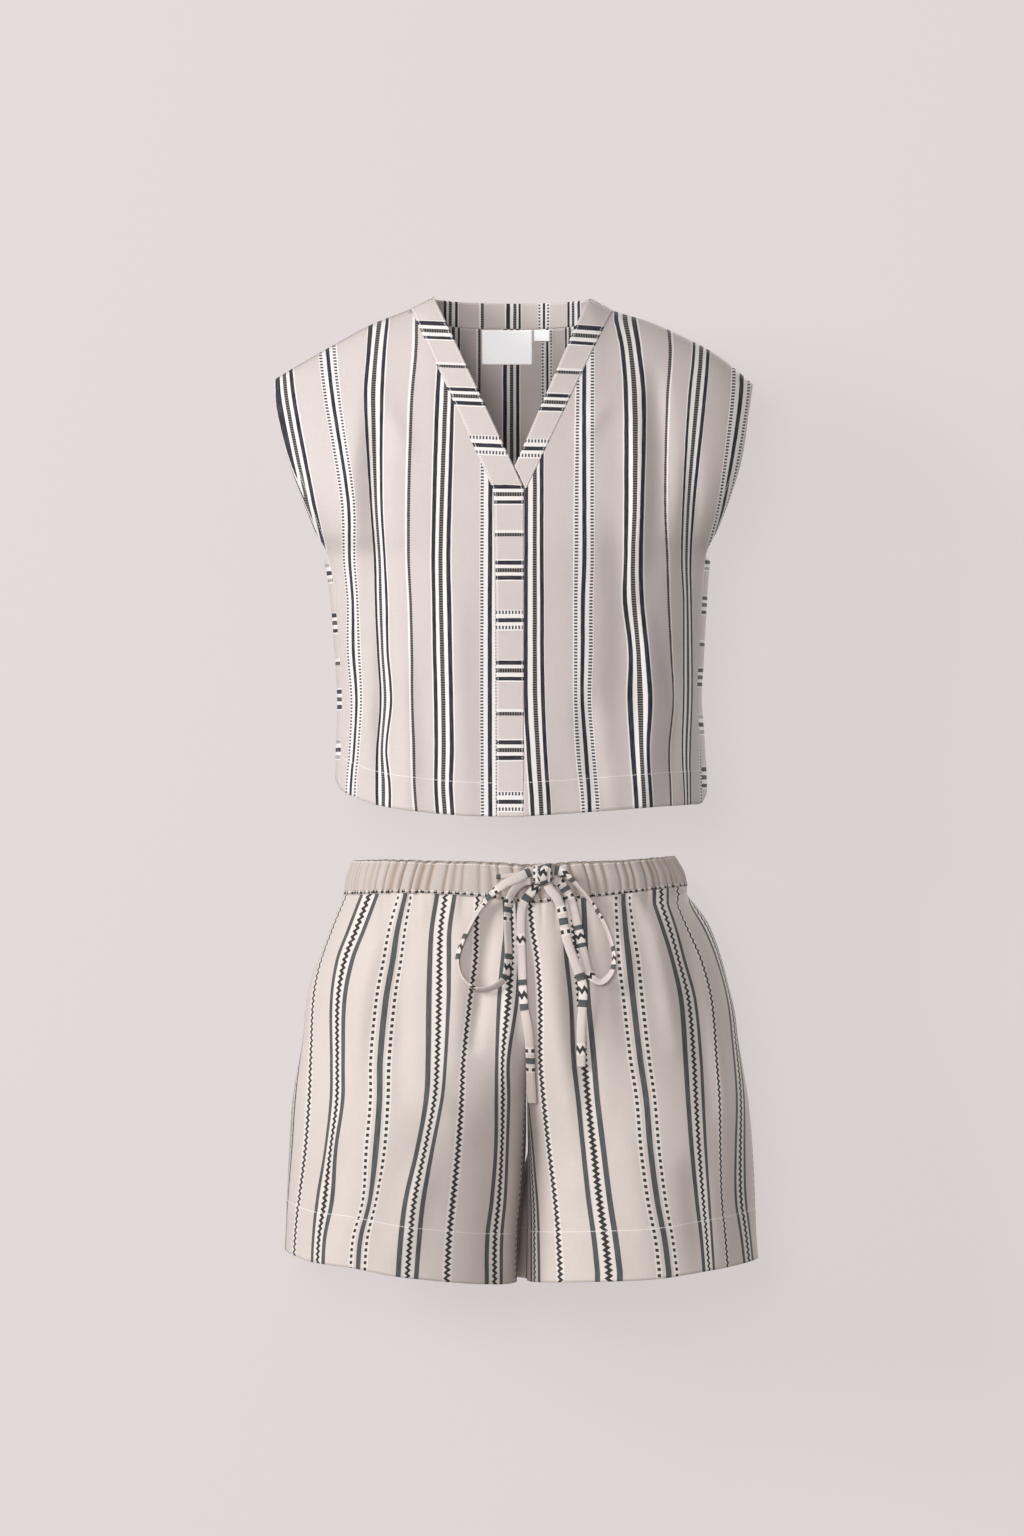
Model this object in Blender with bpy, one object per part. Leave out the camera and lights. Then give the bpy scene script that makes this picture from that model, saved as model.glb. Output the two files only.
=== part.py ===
"""Sleeveless V-neck top and drawstring shorts, filled out as if worn, the top above the shorts.

Metres, +Z up. The front faces -Y, and the wearer's right is at -X. The origin lies between the
shoulders, where the wearer holds the top up. Every piece of cloth is a closed wall of its own,
laid out as a grid of points on the garment's form and given its thickness along shared normals.
"""

import math
from collections import namedtuple

import bmesh
import bpy
from mathutils import Quaternion, Vector

# Cloth walls and the gap that neighbouring pieces keep at a seam
PANEL_WALL = 0.0016
BAND_WALL = 0.0022
WAISTBAND_WALL = 0.0026
LABEL_WALL = 0.0010
SEAM_GAP = 0.0003
WAIST_SEAM_GAP = 0.0010

# Form of the top: roundness of a level section, and how far the cloth rolls over the shoulder
SECTION_POWER = 2.3
SHOULDER_ROLL_FRONT = 0.24
SHOULDER_ROLL_BACK = 0.20
SHOULDER_ROLL_POWER = 0.56
UNDERARM = -0.257
ARMHOLE_RISE = 0.032
SIDE_SEAM_SHARE = 0.970
STRIP_DIP = 0.005

# Neck opening in the front view, as places (x, z)
NECK_CORNER_RIGHT = (-0.104, -0.0095)
NECK_CORNER_LEFT = (0.097, -0.0110)
BAND_TOP_RIGHT = (-0.081, 0.0020)
BAND_TOP_LEFT = (0.073, 0.0005)
V_END_RIGHT = (-0.0245, -0.1870)
V_END_LEFT = (0.0108, -0.1935)
BAND_END_RIGHT = (0.0086, -0.1925)
BAND_END_LEFT = (-0.0002, -0.1705)
BACK_NECK_DROP = -0.026
BACK_NECK_POWER = 4.0
BACK_BAND_SHARE = 0.78
BACK_BAND_LEAN = 0.90
BACK_BAND_TOP = -0.001

# Blank labels inside the back neck: left, right, top and bottom edges
LABEL_EDGES = (-0.033, 0.017, -0.0275, -0.061)
SIZE_TAB_EDGES = (0.0195, 0.0345, -0.0275, -0.038)
LABEL_CLEARANCE = 0.0012

# Form of the shorts
HIP_POWER = 2.2
CROTCH_START = -0.715
CROTCH_END = -0.862
WAIST_GATHERS = 31
GATHER_DEPTH = 0.0011
GATHER_UNEVENNESS = 0.34
GATHER_FADE = 0.045
PANEL_GATHER_DEPTH = 0.0016
PANEL_GATHERS = 7
WAIST_SWELL = 0.0012
SEAM_STEP = 0.008

# Cells of the grids: across and down each kind of piece
V_CELLS = 6
SHOULDER_CELLS = 8
BACK_NECK_CELLS = 10
ARMHOLE_CELLS = 9
SIDE_CELLS = 8
STRIP_CELLS = 4
BAND_CELLS = 2
LEG_CELLS_ACROSS = 15
LEG_CELLS_DOWN = 13
WAISTBAND_CELLS = 2

# Drawstring tape
TAPE_WIDTH = 0.0090
TAPE_THICKNESS = 0.0024
TAPE_CLEARANCE = 0.0008
TAPE_POINTS_PER_METRE = 90
TAPE_SECTION = ((-1.0, 0.0), (-0.8, 1.0), (0.8, 1.0), (1.0, 0.0), (0.8, -1.0), (-0.8, -1.0))
KNOT_CENTRE = (0.0270, -0.1060, -0.5730)
KNOT_SIZE = (0.0230, 0.0150, 0.0200)
KNOT_ROUNDING = 0.0045
KNOT_ROUNDING_STEPS = 3

# Rows run from the shoulder tips down. Half widths are to the wearer's right and left of the
# middle, depths are forward and back of it, and armhole is the opening's half width there.
TopRow = namedtuple("TopRow", "height right left front back armhole")
TOP_ROWS = (
    TopRow(-0.080, 0.240, 0.238, 0.104, 0.092, 0.040),
    TopRow(-0.110, 0.237, 0.233, 0.108, 0.096, 0.052),
    TopRow(-0.160, 0.225, 0.225, 0.116, 0.102, 0.062),
    TopRow(-0.200, 0.211, 0.213, 0.122, 0.105, 0.054),
    TopRow(-0.235, 0.198, 0.200, 0.125, 0.106, 0.032),
    TopRow(-0.257, 0.191, 0.195, 0.126, 0.106, 0.000),
    TopRow(-0.290, 0.185, 0.192, 0.125, 0.105, 0.000),
    TopRow(-0.360, 0.179, 0.188, 0.122, 0.104, 0.000),
    TopRow(-0.400, 0.177, 0.186, 0.120, 0.104, 0.000),
    TopRow(-0.440, 0.178, 0.189, 0.119, 0.104, 0.000),
    TopRow(-0.520, 0.179, 0.192, 0.118, 0.104, 0.000),
)

# The line over the shoulders, and the level that the neck would have between them
ShoulderRow = namedtuple("ShoulderRow", "across height")
SHOULDER_ROWS = (
    ShoulderRow(-0.240, -0.0800),
    ShoulderRow(-0.215, -0.0650),
    ShoulderRow(-0.180, -0.0450),
    ShoulderRow(-0.145, -0.0260),
    ShoulderRow(-0.104, -0.0095),
    ShoulderRow(-0.081, 0.0020),
    ShoulderRow(0.000, 0.0200),
    ShoulderRow(0.073, 0.0005),
    ShoulderRow(0.097, -0.0110),
    ShoulderRow(0.135, -0.0230),
    ShoulderRow(0.175, -0.0410),
    ShoulderRow(0.205, -0.0580),
    ShoulderRow(0.238, -0.0850),
)

# The top's hem, by the share of the half width from the middle out
TopHemRow = namedtuple("TopHemRow", "share right left")
TOP_HEM_ROWS = (
    TopHemRow(0.00, -0.516, -0.516),
    TopHemRow(0.25, -0.515, -0.513),
    TopHemRow(0.47, -0.512, -0.510),
    TopHemRow(0.75, -0.505, -0.506),
    TopHemRow(0.91, -0.495, -0.504),
    TopHemRow(0.97, -0.488, -0.502),
    TopHemRow(1.00, -0.478, -0.491),
)

# The edges along which the placket meets the fronts
PlacketRow = namedtuple("PlacketRow", "height right left")
PLACKET_ROWS = (
    PlacketRow(-0.1870, -0.0245, 0.0108),
    PlacketRow(-0.1970, -0.0212, 0.0098),
    PlacketRow(-0.2100, -0.0203, 0.0087),
    PlacketRow(-0.3000, -0.0188, 0.0086),
    PlacketRow(-0.5160, -0.0180, 0.0086),
)

# Rows run from the waist seam down. Outer and inner edges of each leg are places across,
# depths are forward and back of the middle.
ShortsRow = namedtuple("ShortsRow", "height right left front back right_inner left_inner")
SHORTS_ROWS = (
    ShortsRow(-0.595, -0.170, 0.171, 0.098, 0.098, 0.0100, 0.0100),
    ShortsRow(-0.621, -0.181, 0.191, 0.105, 0.109, 0.0102, 0.0102),
    ShortsRow(-0.650, -0.192, 0.203, 0.1115, 0.115, 0.0105, 0.0105),
    ShortsRow(-0.685, -0.205, 0.2125, 0.1155, 0.120, 0.0108, 0.0108),
    ShortsRow(-0.712, -0.209, 0.219, 0.117, 0.122, 0.0112, 0.0112),
    ShortsRow(-0.740, -0.2115, 0.2225, 0.1185, 0.123, 0.0103, 0.0127),
    ShortsRow(-0.800, -0.2215, 0.2325, 0.1200, 0.123, 0.0104, 0.0130),
    ShortsRow(-0.850, -0.2248, 0.2368, 0.1160, 0.118, 0.0100, 0.0135),
    ShortsRow(-0.893, -0.227, 0.239, 0.1130, 0.115, 0.0065, 0.0138),
    ShortsRow(-0.929, -0.228, 0.240, 0.1110, 0.113, 0.0030, 0.0136),
    ShortsRow(-0.985, -0.231, 0.244, 0.1090, 0.111, 0.0005, 0.0130),
)

# Levels that change across the shorts: the waistband's two edges and the hem
LevelRow = namedtuple("LevelRow", "across band_top band_bottom hem")
LEVEL_ROWS = (
    LevelRow(-0.231, -0.5610, -0.5950, -0.949),
    LevelRow(-0.204, -0.5610, -0.5950, -0.957),
    LevelRow(-0.165, -0.5605, -0.5945, -0.961),
    LevelRow(-0.121, -0.5600, -0.5920, -0.969),
    LevelRow(-0.079, -0.5615, -0.5925, -0.974),
    LevelRow(-0.031, -0.5625, -0.5955, -0.979),
    LevelRow(0.002, -0.5645, -0.6000, -0.981),
    LevelRow(0.020, -0.5650, -0.6015, -0.979),
    LevelRow(0.059, -0.5625, -0.5975, -0.976),
    LevelRow(0.106, -0.5610, -0.5930, -0.974),
    LevelRow(0.140, -0.5580, -0.5890, -0.972),
    LevelRow(0.171, -0.5555, -0.5860, -0.968),
    LevelRow(0.212, -0.5555, -0.5860, -0.962),
    LevelRow(0.244, -0.5555, -0.5860, -0.957),
)

# The waistband from its lower edge to its upper one: half widths, depth and swell
BandRow = namedtuple("BandRow", "rise right left depth swell")
WAISTBAND_ROWS = (
    BandRow(0.0, -0.170, 0.171, 0.0985, 0.0),
    BandRow(0.5, -0.166, 0.166, 0.0965, 1.0),
    BandRow(1.0, -0.161, 0.1585, 0.0935, 0.0),
)

# Each tape's route: place across, height, how far its middle lies before the cloth, and how many
# degrees the tape is turned from facing forward
RoutePoint = namedtuple("RoutePoint", "across height lift turn")
RIGHT_LOOP = (
    RoutePoint(0.0151, -0.5690, 0.0095, 0),
    RoutePoint(0.0095, -0.5693, 0.0100, 5),
    RoutePoint(0.0030, -0.5715, 0.0108, 15),
    RoutePoint(-0.0110, -0.5780, 0.0110, 30),
    RoutePoint(-0.0225, -0.5890, 0.0090, 50),
    RoutePoint(-0.0345, -0.6050, 0.0075, 65),
    RoutePoint(-0.0435, -0.6210, 0.0068, 70),
    RoutePoint(-0.0520, -0.6390, 0.0066, 70),
    RoutePoint(-0.0570, -0.6580, 0.0066, 70),
    RoutePoint(-0.0520, -0.6750, 0.0066, 70),
    RoutePoint(-0.0390, -0.6850, 0.0068, 65),
    RoutePoint(-0.0220, -0.6840, 0.0075, 55),
    RoutePoint(-0.0105, -0.6750, 0.0080, 40),
    RoutePoint(-0.0065, -0.6560, 0.0080, 35),
    RoutePoint(-0.0070, -0.6350, 0.0080, 35),
    RoutePoint(-0.0075, -0.6130, 0.0080, 35),
    RoutePoint(-0.0050, -0.5960, 0.0082, 30),
    RoutePoint(0.0025, -0.5845, 0.0090, 20),
    RoutePoint(0.0090, -0.5798, 0.0080, 5),
    RoutePoint(0.0151, -0.5788, 0.0075, 0),
)
RIGHT_TAIL = (
    RoutePoint(0.0215, -0.5834, 0.0034, 0),
    RoutePoint(0.0185, -0.5880, 0.0032, 0),
    RoutePoint(0.0125, -0.5950, 0.0030, 0),
    RoutePoint(0.0070, -0.6060, 0.0030, 0),
    RoutePoint(0.0058, -0.6280, 0.0030, 0),
    RoutePoint(0.0062, -0.6520, 0.0032, 10),
    RoutePoint(0.0072, -0.6780, 0.0038, 25),
    RoutePoint(0.0088, -0.7030, 0.0038, 25),
    RoutePoint(0.0130, -0.7260, 0.0034, 10),
    RoutePoint(0.0148, -0.7500, 0.0034, 10),
    RoutePoint(0.0155, -0.7740, 0.0034, 10),
    RoutePoint(0.0170, -0.7990, 0.0034, 10),
)
LEFT_LOOP = (
    RoutePoint(0.0389, -0.5690, 0.0095, 0),
    RoutePoint(0.0440, -0.5698, 0.0098, 10),
    RoutePoint(0.0510, -0.5740, 0.0105, 45),
    RoutePoint(0.0610, -0.5835, 0.0085, 65),
    RoutePoint(0.0740, -0.5990, 0.0070, 70),
    RoutePoint(0.0840, -0.6140, 0.0066, 70),
    RoutePoint(0.0920, -0.6310, 0.0066, 70),
    RoutePoint(0.0975, -0.6520, 0.0066, 70),
    RoutePoint(0.0950, -0.6690, 0.0066, 60),
    RoutePoint(0.0850, -0.6785, 0.0060, 45),
    RoutePoint(0.0750, -0.6730, 0.0050, 25),
    RoutePoint(0.0690, -0.6560, 0.0038, 10),
    RoutePoint(0.0645, -0.6360, 0.0032, 0),
    RoutePoint(0.0600, -0.6160, 0.0030, 0),
    RoutePoint(0.0545, -0.5970, 0.0030, 0),
    RoutePoint(0.0485, -0.5860, 0.0032, 0),
    RoutePoint(0.0440, -0.5806, 0.0040, 0),
    RoutePoint(0.0389, -0.5788, 0.0045, 0),
)
LEFT_TAIL = (
    RoutePoint(0.0325, -0.5834, 0.0075, 0),
    RoutePoint(0.0345, -0.5880, 0.0080, 0),
    RoutePoint(0.0405, -0.5950, 0.0085, 0),
    RoutePoint(0.0455, -0.6060, 0.0075, 0),
    RoutePoint(0.0480, -0.6200, 0.0070, 0),
    RoutePoint(0.0520, -0.6400, 0.0070, 0),
    RoutePoint(0.0600, -0.6620, 0.0075, 0),
    RoutePoint(0.0665, -0.6820, 0.0075, 10),
    RoutePoint(0.0665, -0.7010, 0.0060, 15),
    RoutePoint(0.0650, -0.7220, 0.0045, 15),
    RoutePoint(0.0650, -0.7420, 0.0036, 10),
    RoutePoint(0.0650, -0.7620, 0.0034, 10),
)

# Colours
TOP_CLOTH = (0.72, 0.66, 0.62)
BAND_CLOTH = (0.76, 0.71, 0.67)
LABEL_CLOTH = (0.90, 0.90, 0.90)
SHORTS_CLOTH = (0.80, 0.71, 0.64)
WAIST_CLOTH = (0.64, 0.57, 0.50)
TAPE_CLOTH = (0.78, 0.70, 0.63)
CLOTH_ROUGHNESS = 0.88


def clear_scene():
    """Remove whatever the scene starts with."""
    for thing in list(bpy.data.objects):
        bpy.data.objects.remove(thing, do_unlink=True)


def curve_value(places, values, place):
    """A smooth curve through values at rising or falling places, level beyond its ends."""
    if places[0] > places[-1]:
        places = places[::-1]
        values = values[::-1]
    if place <= places[0]:
        return values[0]
    if place >= places[-1]:
        return values[-1]
    last = len(places) - 1
    cell = max(i for i in range(last) if places[i] <= place)

    def slope(i):
        before = max(i - 1, 0)
        after = min(i + 1, last)
        return (values[after] - values[before]) / (places[after] - places[before])

    width = places[cell + 1] - places[cell]
    t = (place - places[cell]) / width
    rise = t * t * (3.0 - 2.0 * t)
    leave = t * (1.0 - t) ** 2 * width * slope(cell)
    arrive = t * t * (t - 1.0) * width * slope(cell + 1)
    return values[cell] + (values[cell + 1] - values[cell]) * rise + leave + arrive


def read(rows, column, place):
    """One column of a table at a place between its rows."""
    places = [row[0] for row in rows]
    values = [getattr(row, column) for row in rows]
    return curve_value(places, values, place)


def mix(a, b, share):
    """The value at a share of the way from a to b."""
    return a + (b - a) * share


def smooth_step(start, end, value):
    """0 before start, 1 after end, and a soft change between them."""
    t = min(1.0, max(0.0, (value - start) / (end - start)))
    return t * t * (3.0 - 2.0 * t)


def dome(share, power):
    """Height of a rounded section at a share of its half width: 1 in the middle, 0 at the edge."""
    share = min(1.0, max(0.0, share))
    return (1.0 - share ** power) ** (1.0 / power)


def shoulder_height(across):
    return read(SHOULDER_ROWS, "height", across)


def half_width(across, height):
    return read(TOP_ROWS, "left" if across > 0.0 else "right", height)


def top_reach(across, height, back):
    """How far the top's cloth stands from the middle plane at a place in the front view."""
    body = read(TOP_ROWS, "back" if back else "front", height)
    armhole = read(TOP_ROWS, "armhole", height)
    section = armhole + (body - armhole) * dome(abs(across) / half_width(across, height), SECTION_POWER)
    roll_length = SHOULDER_ROLL_BACK if back else SHOULDER_ROLL_FRONT
    drop = min(1.0, max(0.0, shoulder_height(across) - height) / roll_length)
    return section * (1.0 - (1.0 - drop) ** 2) ** SHOULDER_ROLL_POWER


def top_point(across, height, back):
    reach = top_reach(across, height, back)
    return Vector((across, reach if back else -reach, height))


def top_hem(side, share):
    return read(TOP_HEM_ROWS, "left" if side > 0 else "right", share)


def edge_share(height):
    """Where a panel's side edge lies: the side seam below the arm, the outline's edge above."""
    return mix(SIDE_SEAM_SHARE, 1.0, smooth_step(UNDERARM, UNDERARM + ARMHOLE_RISE, height))


def side_edge(side):
    """Places (x, z) up the side seam and round the armhole to the shoulder tip."""
    seam_foot = top_hem(side, SIDE_SEAM_SHARE)
    tip = SHOULDER_ROWS[-1] if side > 0 else SHOULDER_ROWS[0]
    heights = [mix(seam_foot, UNDERARM, i / SIDE_CELLS) for i in range(SIDE_CELLS)]
    heights += [mix(UNDERARM, tip.height, i / ARMHOLE_CELLS) for i in range(ARMHOLE_CELLS)]
    places = [(side * edge_share(z) * half_width(side, z), z) for z in heights]
    return places + [(tip.across, tip.height)]


def shoulder_shares():
    """Shares from the neck corner to the tip, closer together towards the tip."""
    return [math.sin(0.5 * math.pi * i / SHOULDER_CELLS) for i in range(SHOULDER_CELLS + 1)]


def shoulder_line(side):
    """Places (x, z) from the neck corner out to the shoulder tip."""
    corner = NECK_CORNER_LEFT if side > 0 else NECK_CORNER_RIGHT
    tip = SHOULDER_ROWS[-1] if side > 0 else SHOULDER_ROWS[0]
    line = [corner]
    for share in shoulder_shares()[1:]:
        across = mix(corner[0], tip.across, share)
        line.append((across, shoulder_height(across)))
    return line


def v_line(start, end):
    """Places (x, z) along one edge of the V, from its foot to the neck."""
    return [
        (mix(start[0], end[0], i / V_CELLS), mix(start[1], end[1], i / V_CELLS))
        for i in range(V_CELLS + 1)
    ]


def fill_patch(foot, head, start, end):
    """Places inside a patch with four known edges: rows from foot to head, start to end across."""
    across_last = len(foot) - 1
    down_last = len(start) - 1
    spans = [abs(head[i][0] - head[0][0]) / abs(head[-1][0] - head[0][0]) for i in range(len(head))]
    rows = []
    for j in range(down_last + 1):
        v = j / down_last
        row = []
        for i in range(across_last + 1):
            u = spans[i]
            place = []
            for k in (0, 1):
                edges = mix(foot[i][k], head[i][k], v) + mix(start[j][k], end[j][k], u)
                low = mix(foot[0][k], foot[-1][k], u)
                high = mix(head[0][k], head[-1][k], u)
                place.append(edges - mix(low, high, v))
            row.append(tuple(place))
        rows.append(row)
    return rows


def top_hem_line(start, end, head):
    """Places (x, z) along the hem between two places, spread like the head line's."""
    span = head[-1][0] - head[0][0]
    line = []
    for place in head:
        across = mix(start, end, (place[0] - head[0][0]) / span)
        side = 1 if across > 0.0 else -1
        share = abs(across) / half_width(side, TOP_ROWS[-1].height)
        line.append((across, top_hem(side, share)))
    return line


def front_grid(side):
    """Points of one front, from the placket out to the side, from the hem up to the shoulder."""
    v_foot = V_END_LEFT if side > 0 else V_END_RIGHT
    corner = NECK_CORNER_LEFT if side > 0 else NECK_CORNER_RIGHT
    head = v_line(v_foot, corner) + shoulder_line(side)[1:]
    outer = side_edge(side)
    column = "left" if side > 0 else "right"
    foot = top_hem_line(read(PLACKET_ROWS, column, TOP_HEM_ROWS[0].right), outer[0][0], head)
    foot[-1] = outer[0]
    last = len(outer) - 1
    inner = []
    for j in range(last + 1):
        height = mix(foot[0][1], v_foot[1], j / last)
        inner.append((read(PLACKET_ROWS, column, height), height))
    inner[-1] = v_foot
    foot[0] = inner[0]
    places = fill_patch(foot, head, inner, outer)
    return [[top_point(x, z, False) for x, z in row] for row in places]


def back_neck_line():
    """Places (x, z) along the seam of the back neck, from the right corner to the left one."""
    line = []
    for i in range(BACK_NECK_CELLS + 1):
        share = -math.cos(math.pi * i / BACK_NECK_CELLS)
        middle = 0.5 * (NECK_CORNER_LEFT[0] + NECK_CORNER_RIGHT[0])
        half = 0.5 * (NECK_CORNER_LEFT[0] - NECK_CORNER_RIGHT[0])
        corner = NECK_CORNER_LEFT if share > 0.0 else NECK_CORNER_RIGHT
        height = mix(BACK_NECK_DROP, corner[1], abs(share) ** BACK_NECK_POWER)
        line.append((middle + half * share, height))
    return line


def back_grid():
    """Points of the back, from the wearer's right side to the left one, from the hem up."""
    right = shoulder_line(-1)[::-1]
    left = shoulder_line(1)
    head = right + back_neck_line()[1:-1] + left
    start = side_edge(-1)
    end = side_edge(1)
    foot = top_hem_line(start[0][0], end[0][0], head)
    foot[0] = start[0]
    foot[-1] = end[0]
    places = fill_patch(foot, head, start, end)
    return [[top_point(x, z, True) for x, z in row] for row in places]


def strip_grid(side):
    """Points of one side strip, from the front seam round to the back one, from the hem up."""
    edge = side_edge(side)[: SIDE_CELLS + 1]
    rows = []
    for j, (across, height) in enumerate(edge):
        front = top_point(across, height, False)
        back = top_point(across, height, True)
        outline_foot = top_hem(side, 1.0)
        outline = mix(outline_foot, UNDERARM - STRIP_DIP, j / SIDE_CELLS)
        row = []
        for i in range(STRIP_CELLS + 1):
            turn = 1.0 - 2.0 * i / STRIP_CELLS
            seam = front if turn > 0.0 else back
            z = mix(outline, height, turn * turn)
            depth = read(TOP_ROWS, "front" if turn > 0.0 else "back", z)
            y = seam.y * abs(turn)
            x = side * half_width(side, z) * dome(abs(y) / depth, SECTION_POWER)
            row.append(Vector((x, y, z)))
        row[0] = front
        row[-1] = back
        rows.append(row)
    return rows


def band_grid(side, outer_row):
    """Points of one front run of the neckband, from the V's foot up to the shoulder."""
    foot = BAND_END_LEFT if side > 0 else BAND_END_RIGHT
    top = BAND_TOP_LEFT if side > 0 else BAND_TOP_RIGHT
    inner = v_line(foot, top)
    rows = []
    for outer, place in zip(outer_row, inner):
        row = [outer]
        for i in range(1, BAND_CELLS + 1):
            share = i / BAND_CELLS
            x = mix(outer.x, place[0], share)
            z = mix(outer.z, place[1], share)
            row.append(top_point(x, z, False))
        rows.append(row)
    rows[-1] = neck_side_row(side)
    return rows


def neck_side_row(side):
    """The neckband's points on top of one shoulder, where its front and back runs meet."""
    outer = NECK_CORNER_LEFT if side > 0 else NECK_CORNER_RIGHT
    inner = BAND_TOP_LEFT if side > 0 else BAND_TOP_RIGHT
    row = []
    for i in range(BAND_CELLS + 1):
        share = i / BAND_CELLS
        row.append(Vector((mix(outer[0], inner[0], share), 0.0, mix(outer[1], inner[1], share))))
    return row


def back_band_grid(seam_row):
    """Points of the neckband's back run, which stands up from the back neck."""
    rows = []
    for seam in seam_row:
        side_share = abs(seam.x) / NECK_CORNER_LEFT[0]
        top_height = mix(BACK_BAND_TOP, BAND_TOP_LEFT[1], min(1.0, side_share) ** 2)
        top = Vector((seam.x * BACK_BAND_SHARE, seam.y * BACK_BAND_LEAN, top_height))
        rows.append([seam.lerp(top, i / BAND_CELLS) for i in range(BAND_CELLS + 1)])
    rows[0] = neck_side_row(-1)
    rows[-1] = neck_side_row(1)
    return rows


def placket_grid(right_edge):
    """Points of the placket, from its right edge across to its left one, from the hem up."""
    last = len(right_edge) - 1
    rows = []
    for j, edge in enumerate(right_edge):
        height = mix(right_edge[0].z, BAND_END_RIGHT[1], j / last)
        x = min(BAND_END_RIGHT[0], read(PLACKET_ROWS, "left", height))
        row = [edge]
        for i in range(1, BAND_CELLS + 1):
            share = i / BAND_CELLS
            row.append(top_point(mix(edge.x, x, share), mix(edge.z, height, share), False))
        rows.append(row)
    return rows


def label_grid(edges):
    """Points of a small label hanging inside the back neck."""
    left, right, top, bottom = edges
    rows = []
    for j in range(3):
        row = []
        for i in range(4):
            place = top_point(mix(left, right, i / 3), mix(bottom, top, j / 2), True)
            place.y -= 0.5 * (PANEL_WALL + LABEL_WALL) + LABEL_CLEARANCE
            row.append(place)
        rows.append(row)
    return rows


def leg_edges(side, height):
    """Outer and inner edge of one leg at a height."""
    outer = read(SHORTS_ROWS, "left" if side > 0 else "right", height)
    inner = read(SHORTS_ROWS, "left_inner" if side > 0 else "right_inner", height)
    return outer, inner


def shorts_reach(side, share, height, back):
    """How far a leg's cloth stands from the middle plane, at a share from its outer edge in."""
    depth = read(SHORTS_ROWS, "back" if back else "front", height)
    hip = dome(1.0 - share, HIP_POWER)
    leg = dome(abs(2.0 * share - 1.0), HIP_POWER)
    reach = depth * mix(hip, leg, smooth_step(-CROTCH_START, -CROTCH_END, -height))
    outer, inner = leg_edges(side, height)
    seam = read(LEVEL_ROWS, "band_bottom", mix(outer, inner, share))
    fade = 1.0 - smooth_step(0.0, GATHER_FADE, seam - height)
    wave = math.sin(2.0 * math.pi * PANEL_GATHERS * share) * math.sin(math.pi * share)
    return reach + PANEL_GATHER_DEPTH * fade * wave


def leg_grid(side, back):
    """Points of one leg's front or back, from the side seam in, from the waist seam down."""
    rows = []
    for j in range(LEG_CELLS_DOWN + 1):
        row = []
        for i in range(LEG_CELLS_ACROSS + 1):
            share = 0.5 - 0.5 * math.cos(math.pi * i / LEG_CELLS_ACROSS)
            outer, inner = leg_edges(side, SHORTS_ROWS[0].height)
            top = read(LEVEL_ROWS, "band_bottom", mix(outer, inner, share))
            outer, inner = leg_edges(side, SHORTS_ROWS[-1].height)
            hem = read(LEVEL_ROWS, "hem", mix(outer, inner, share))
            height = mix(top, hem, j / LEG_CELLS_DOWN)
            outer, inner = leg_edges(side, height)
            reach = shorts_reach(side, share, height, back)
            row.append(Vector((mix(outer, inner, share), reach if back else -reach, height)))
        rows.append(row)
    return rows


def gather_shares():
    """Shares round half the waist of each gather's crest and the trough after it, unevenly apart."""
    count = 2 * WAIST_GATHERS
    shares = []
    for i in range(count + 1):
        drift = math.sin(2.1 * i) + 0.6 * math.sin(0.83 * i + 1.0)
        at_end = i in (0, count)
        shares.append((i + (0.0 if at_end else GATHER_UNEVENNESS * drift)) / count)
    return shares


def waistband_point(share, rise, back, gather):
    """A point of the waistband at a share of the way round from the wearer's right side."""
    right = read(WAISTBAND_ROWS, "right", rise)
    left = read(WAISTBAND_ROWS, "left", rise)
    depth = read(WAISTBAND_ROWS, "depth", rise)
    swell = read(WAISTBAND_ROWS, "swell", rise) * WAIST_SWELL
    angle = math.pi * share
    middle = 0.5 * (right + left)
    half = 0.5 * (left - right)
    x = middle - half * math.cos(angle)
    y = depth * math.sin(angle) ** (2.0 / HIP_POWER)
    out = Vector((-math.cos(angle) / half, math.sin(angle) / depth, 0.0)).normalized()
    place = Vector((x, y, 0.0)) + out * (swell + gather)
    bottom = read(LEVEL_ROWS, "band_bottom", x)
    top = read(LEVEL_ROWS, "band_top", x)
    return Vector((place.x, place.y if back else -place.y, mix(bottom, top, rise)))


def waistband_grid(back):
    """Points of half the waistband, from the wearer's right side round, from its lower edge up."""
    shares = gather_shares()
    last = len(shares) - 1
    rows = []
    for j in range(WAISTBAND_CELLS + 1):
        rise = j / WAISTBAND_CELLS
        row = []
        for i, share in enumerate(shares):
            deep = 0.7 + 0.3 * math.sin(1.7 * i)
            gather = GATHER_DEPTH * deep * (1.0 if i % 2 == 0 else -1.0)
            if i in (0, last):
                gather = 0.0
            row.append(waistband_point(share, rise, back, gather))
        rows.append(row)
    return rows


def front_cloth(across, height):
    """How far the front of the shorts, or of its waistband, stands forward at a place."""
    seam = read(LEVEL_ROWS, "band_bottom", across)
    rise = (height - seam) / (read(LEVEL_ROWS, "band_top", across) - seam)
    right = read(WAISTBAND_ROWS, "right", rise)
    left = read(WAISTBAND_ROWS, "left", rise)
    offset = abs(across - 0.5 * (right + left)) / (0.5 * (left - right))
    band = read(WAISTBAND_ROWS, "depth", rise) * dome(offset, HIP_POWER) + WAIST_SWELL + GATHER_DEPTH
    side = 1 if across > SHORTS_ROWS[0].right_inner else -1
    outer, inner = leg_edges(side, height)
    panel = shorts_reach(side, (across - outer) / (inner - outer), height, False)
    return mix(panel, band, smooth_step(seam - SEAM_STEP, seam, height))


def key(point):
    """A point's place to a hundredth of a millimetre, the same for pieces that meet there."""
    return tuple(round(value * 1.0e5) for value in point)


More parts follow.
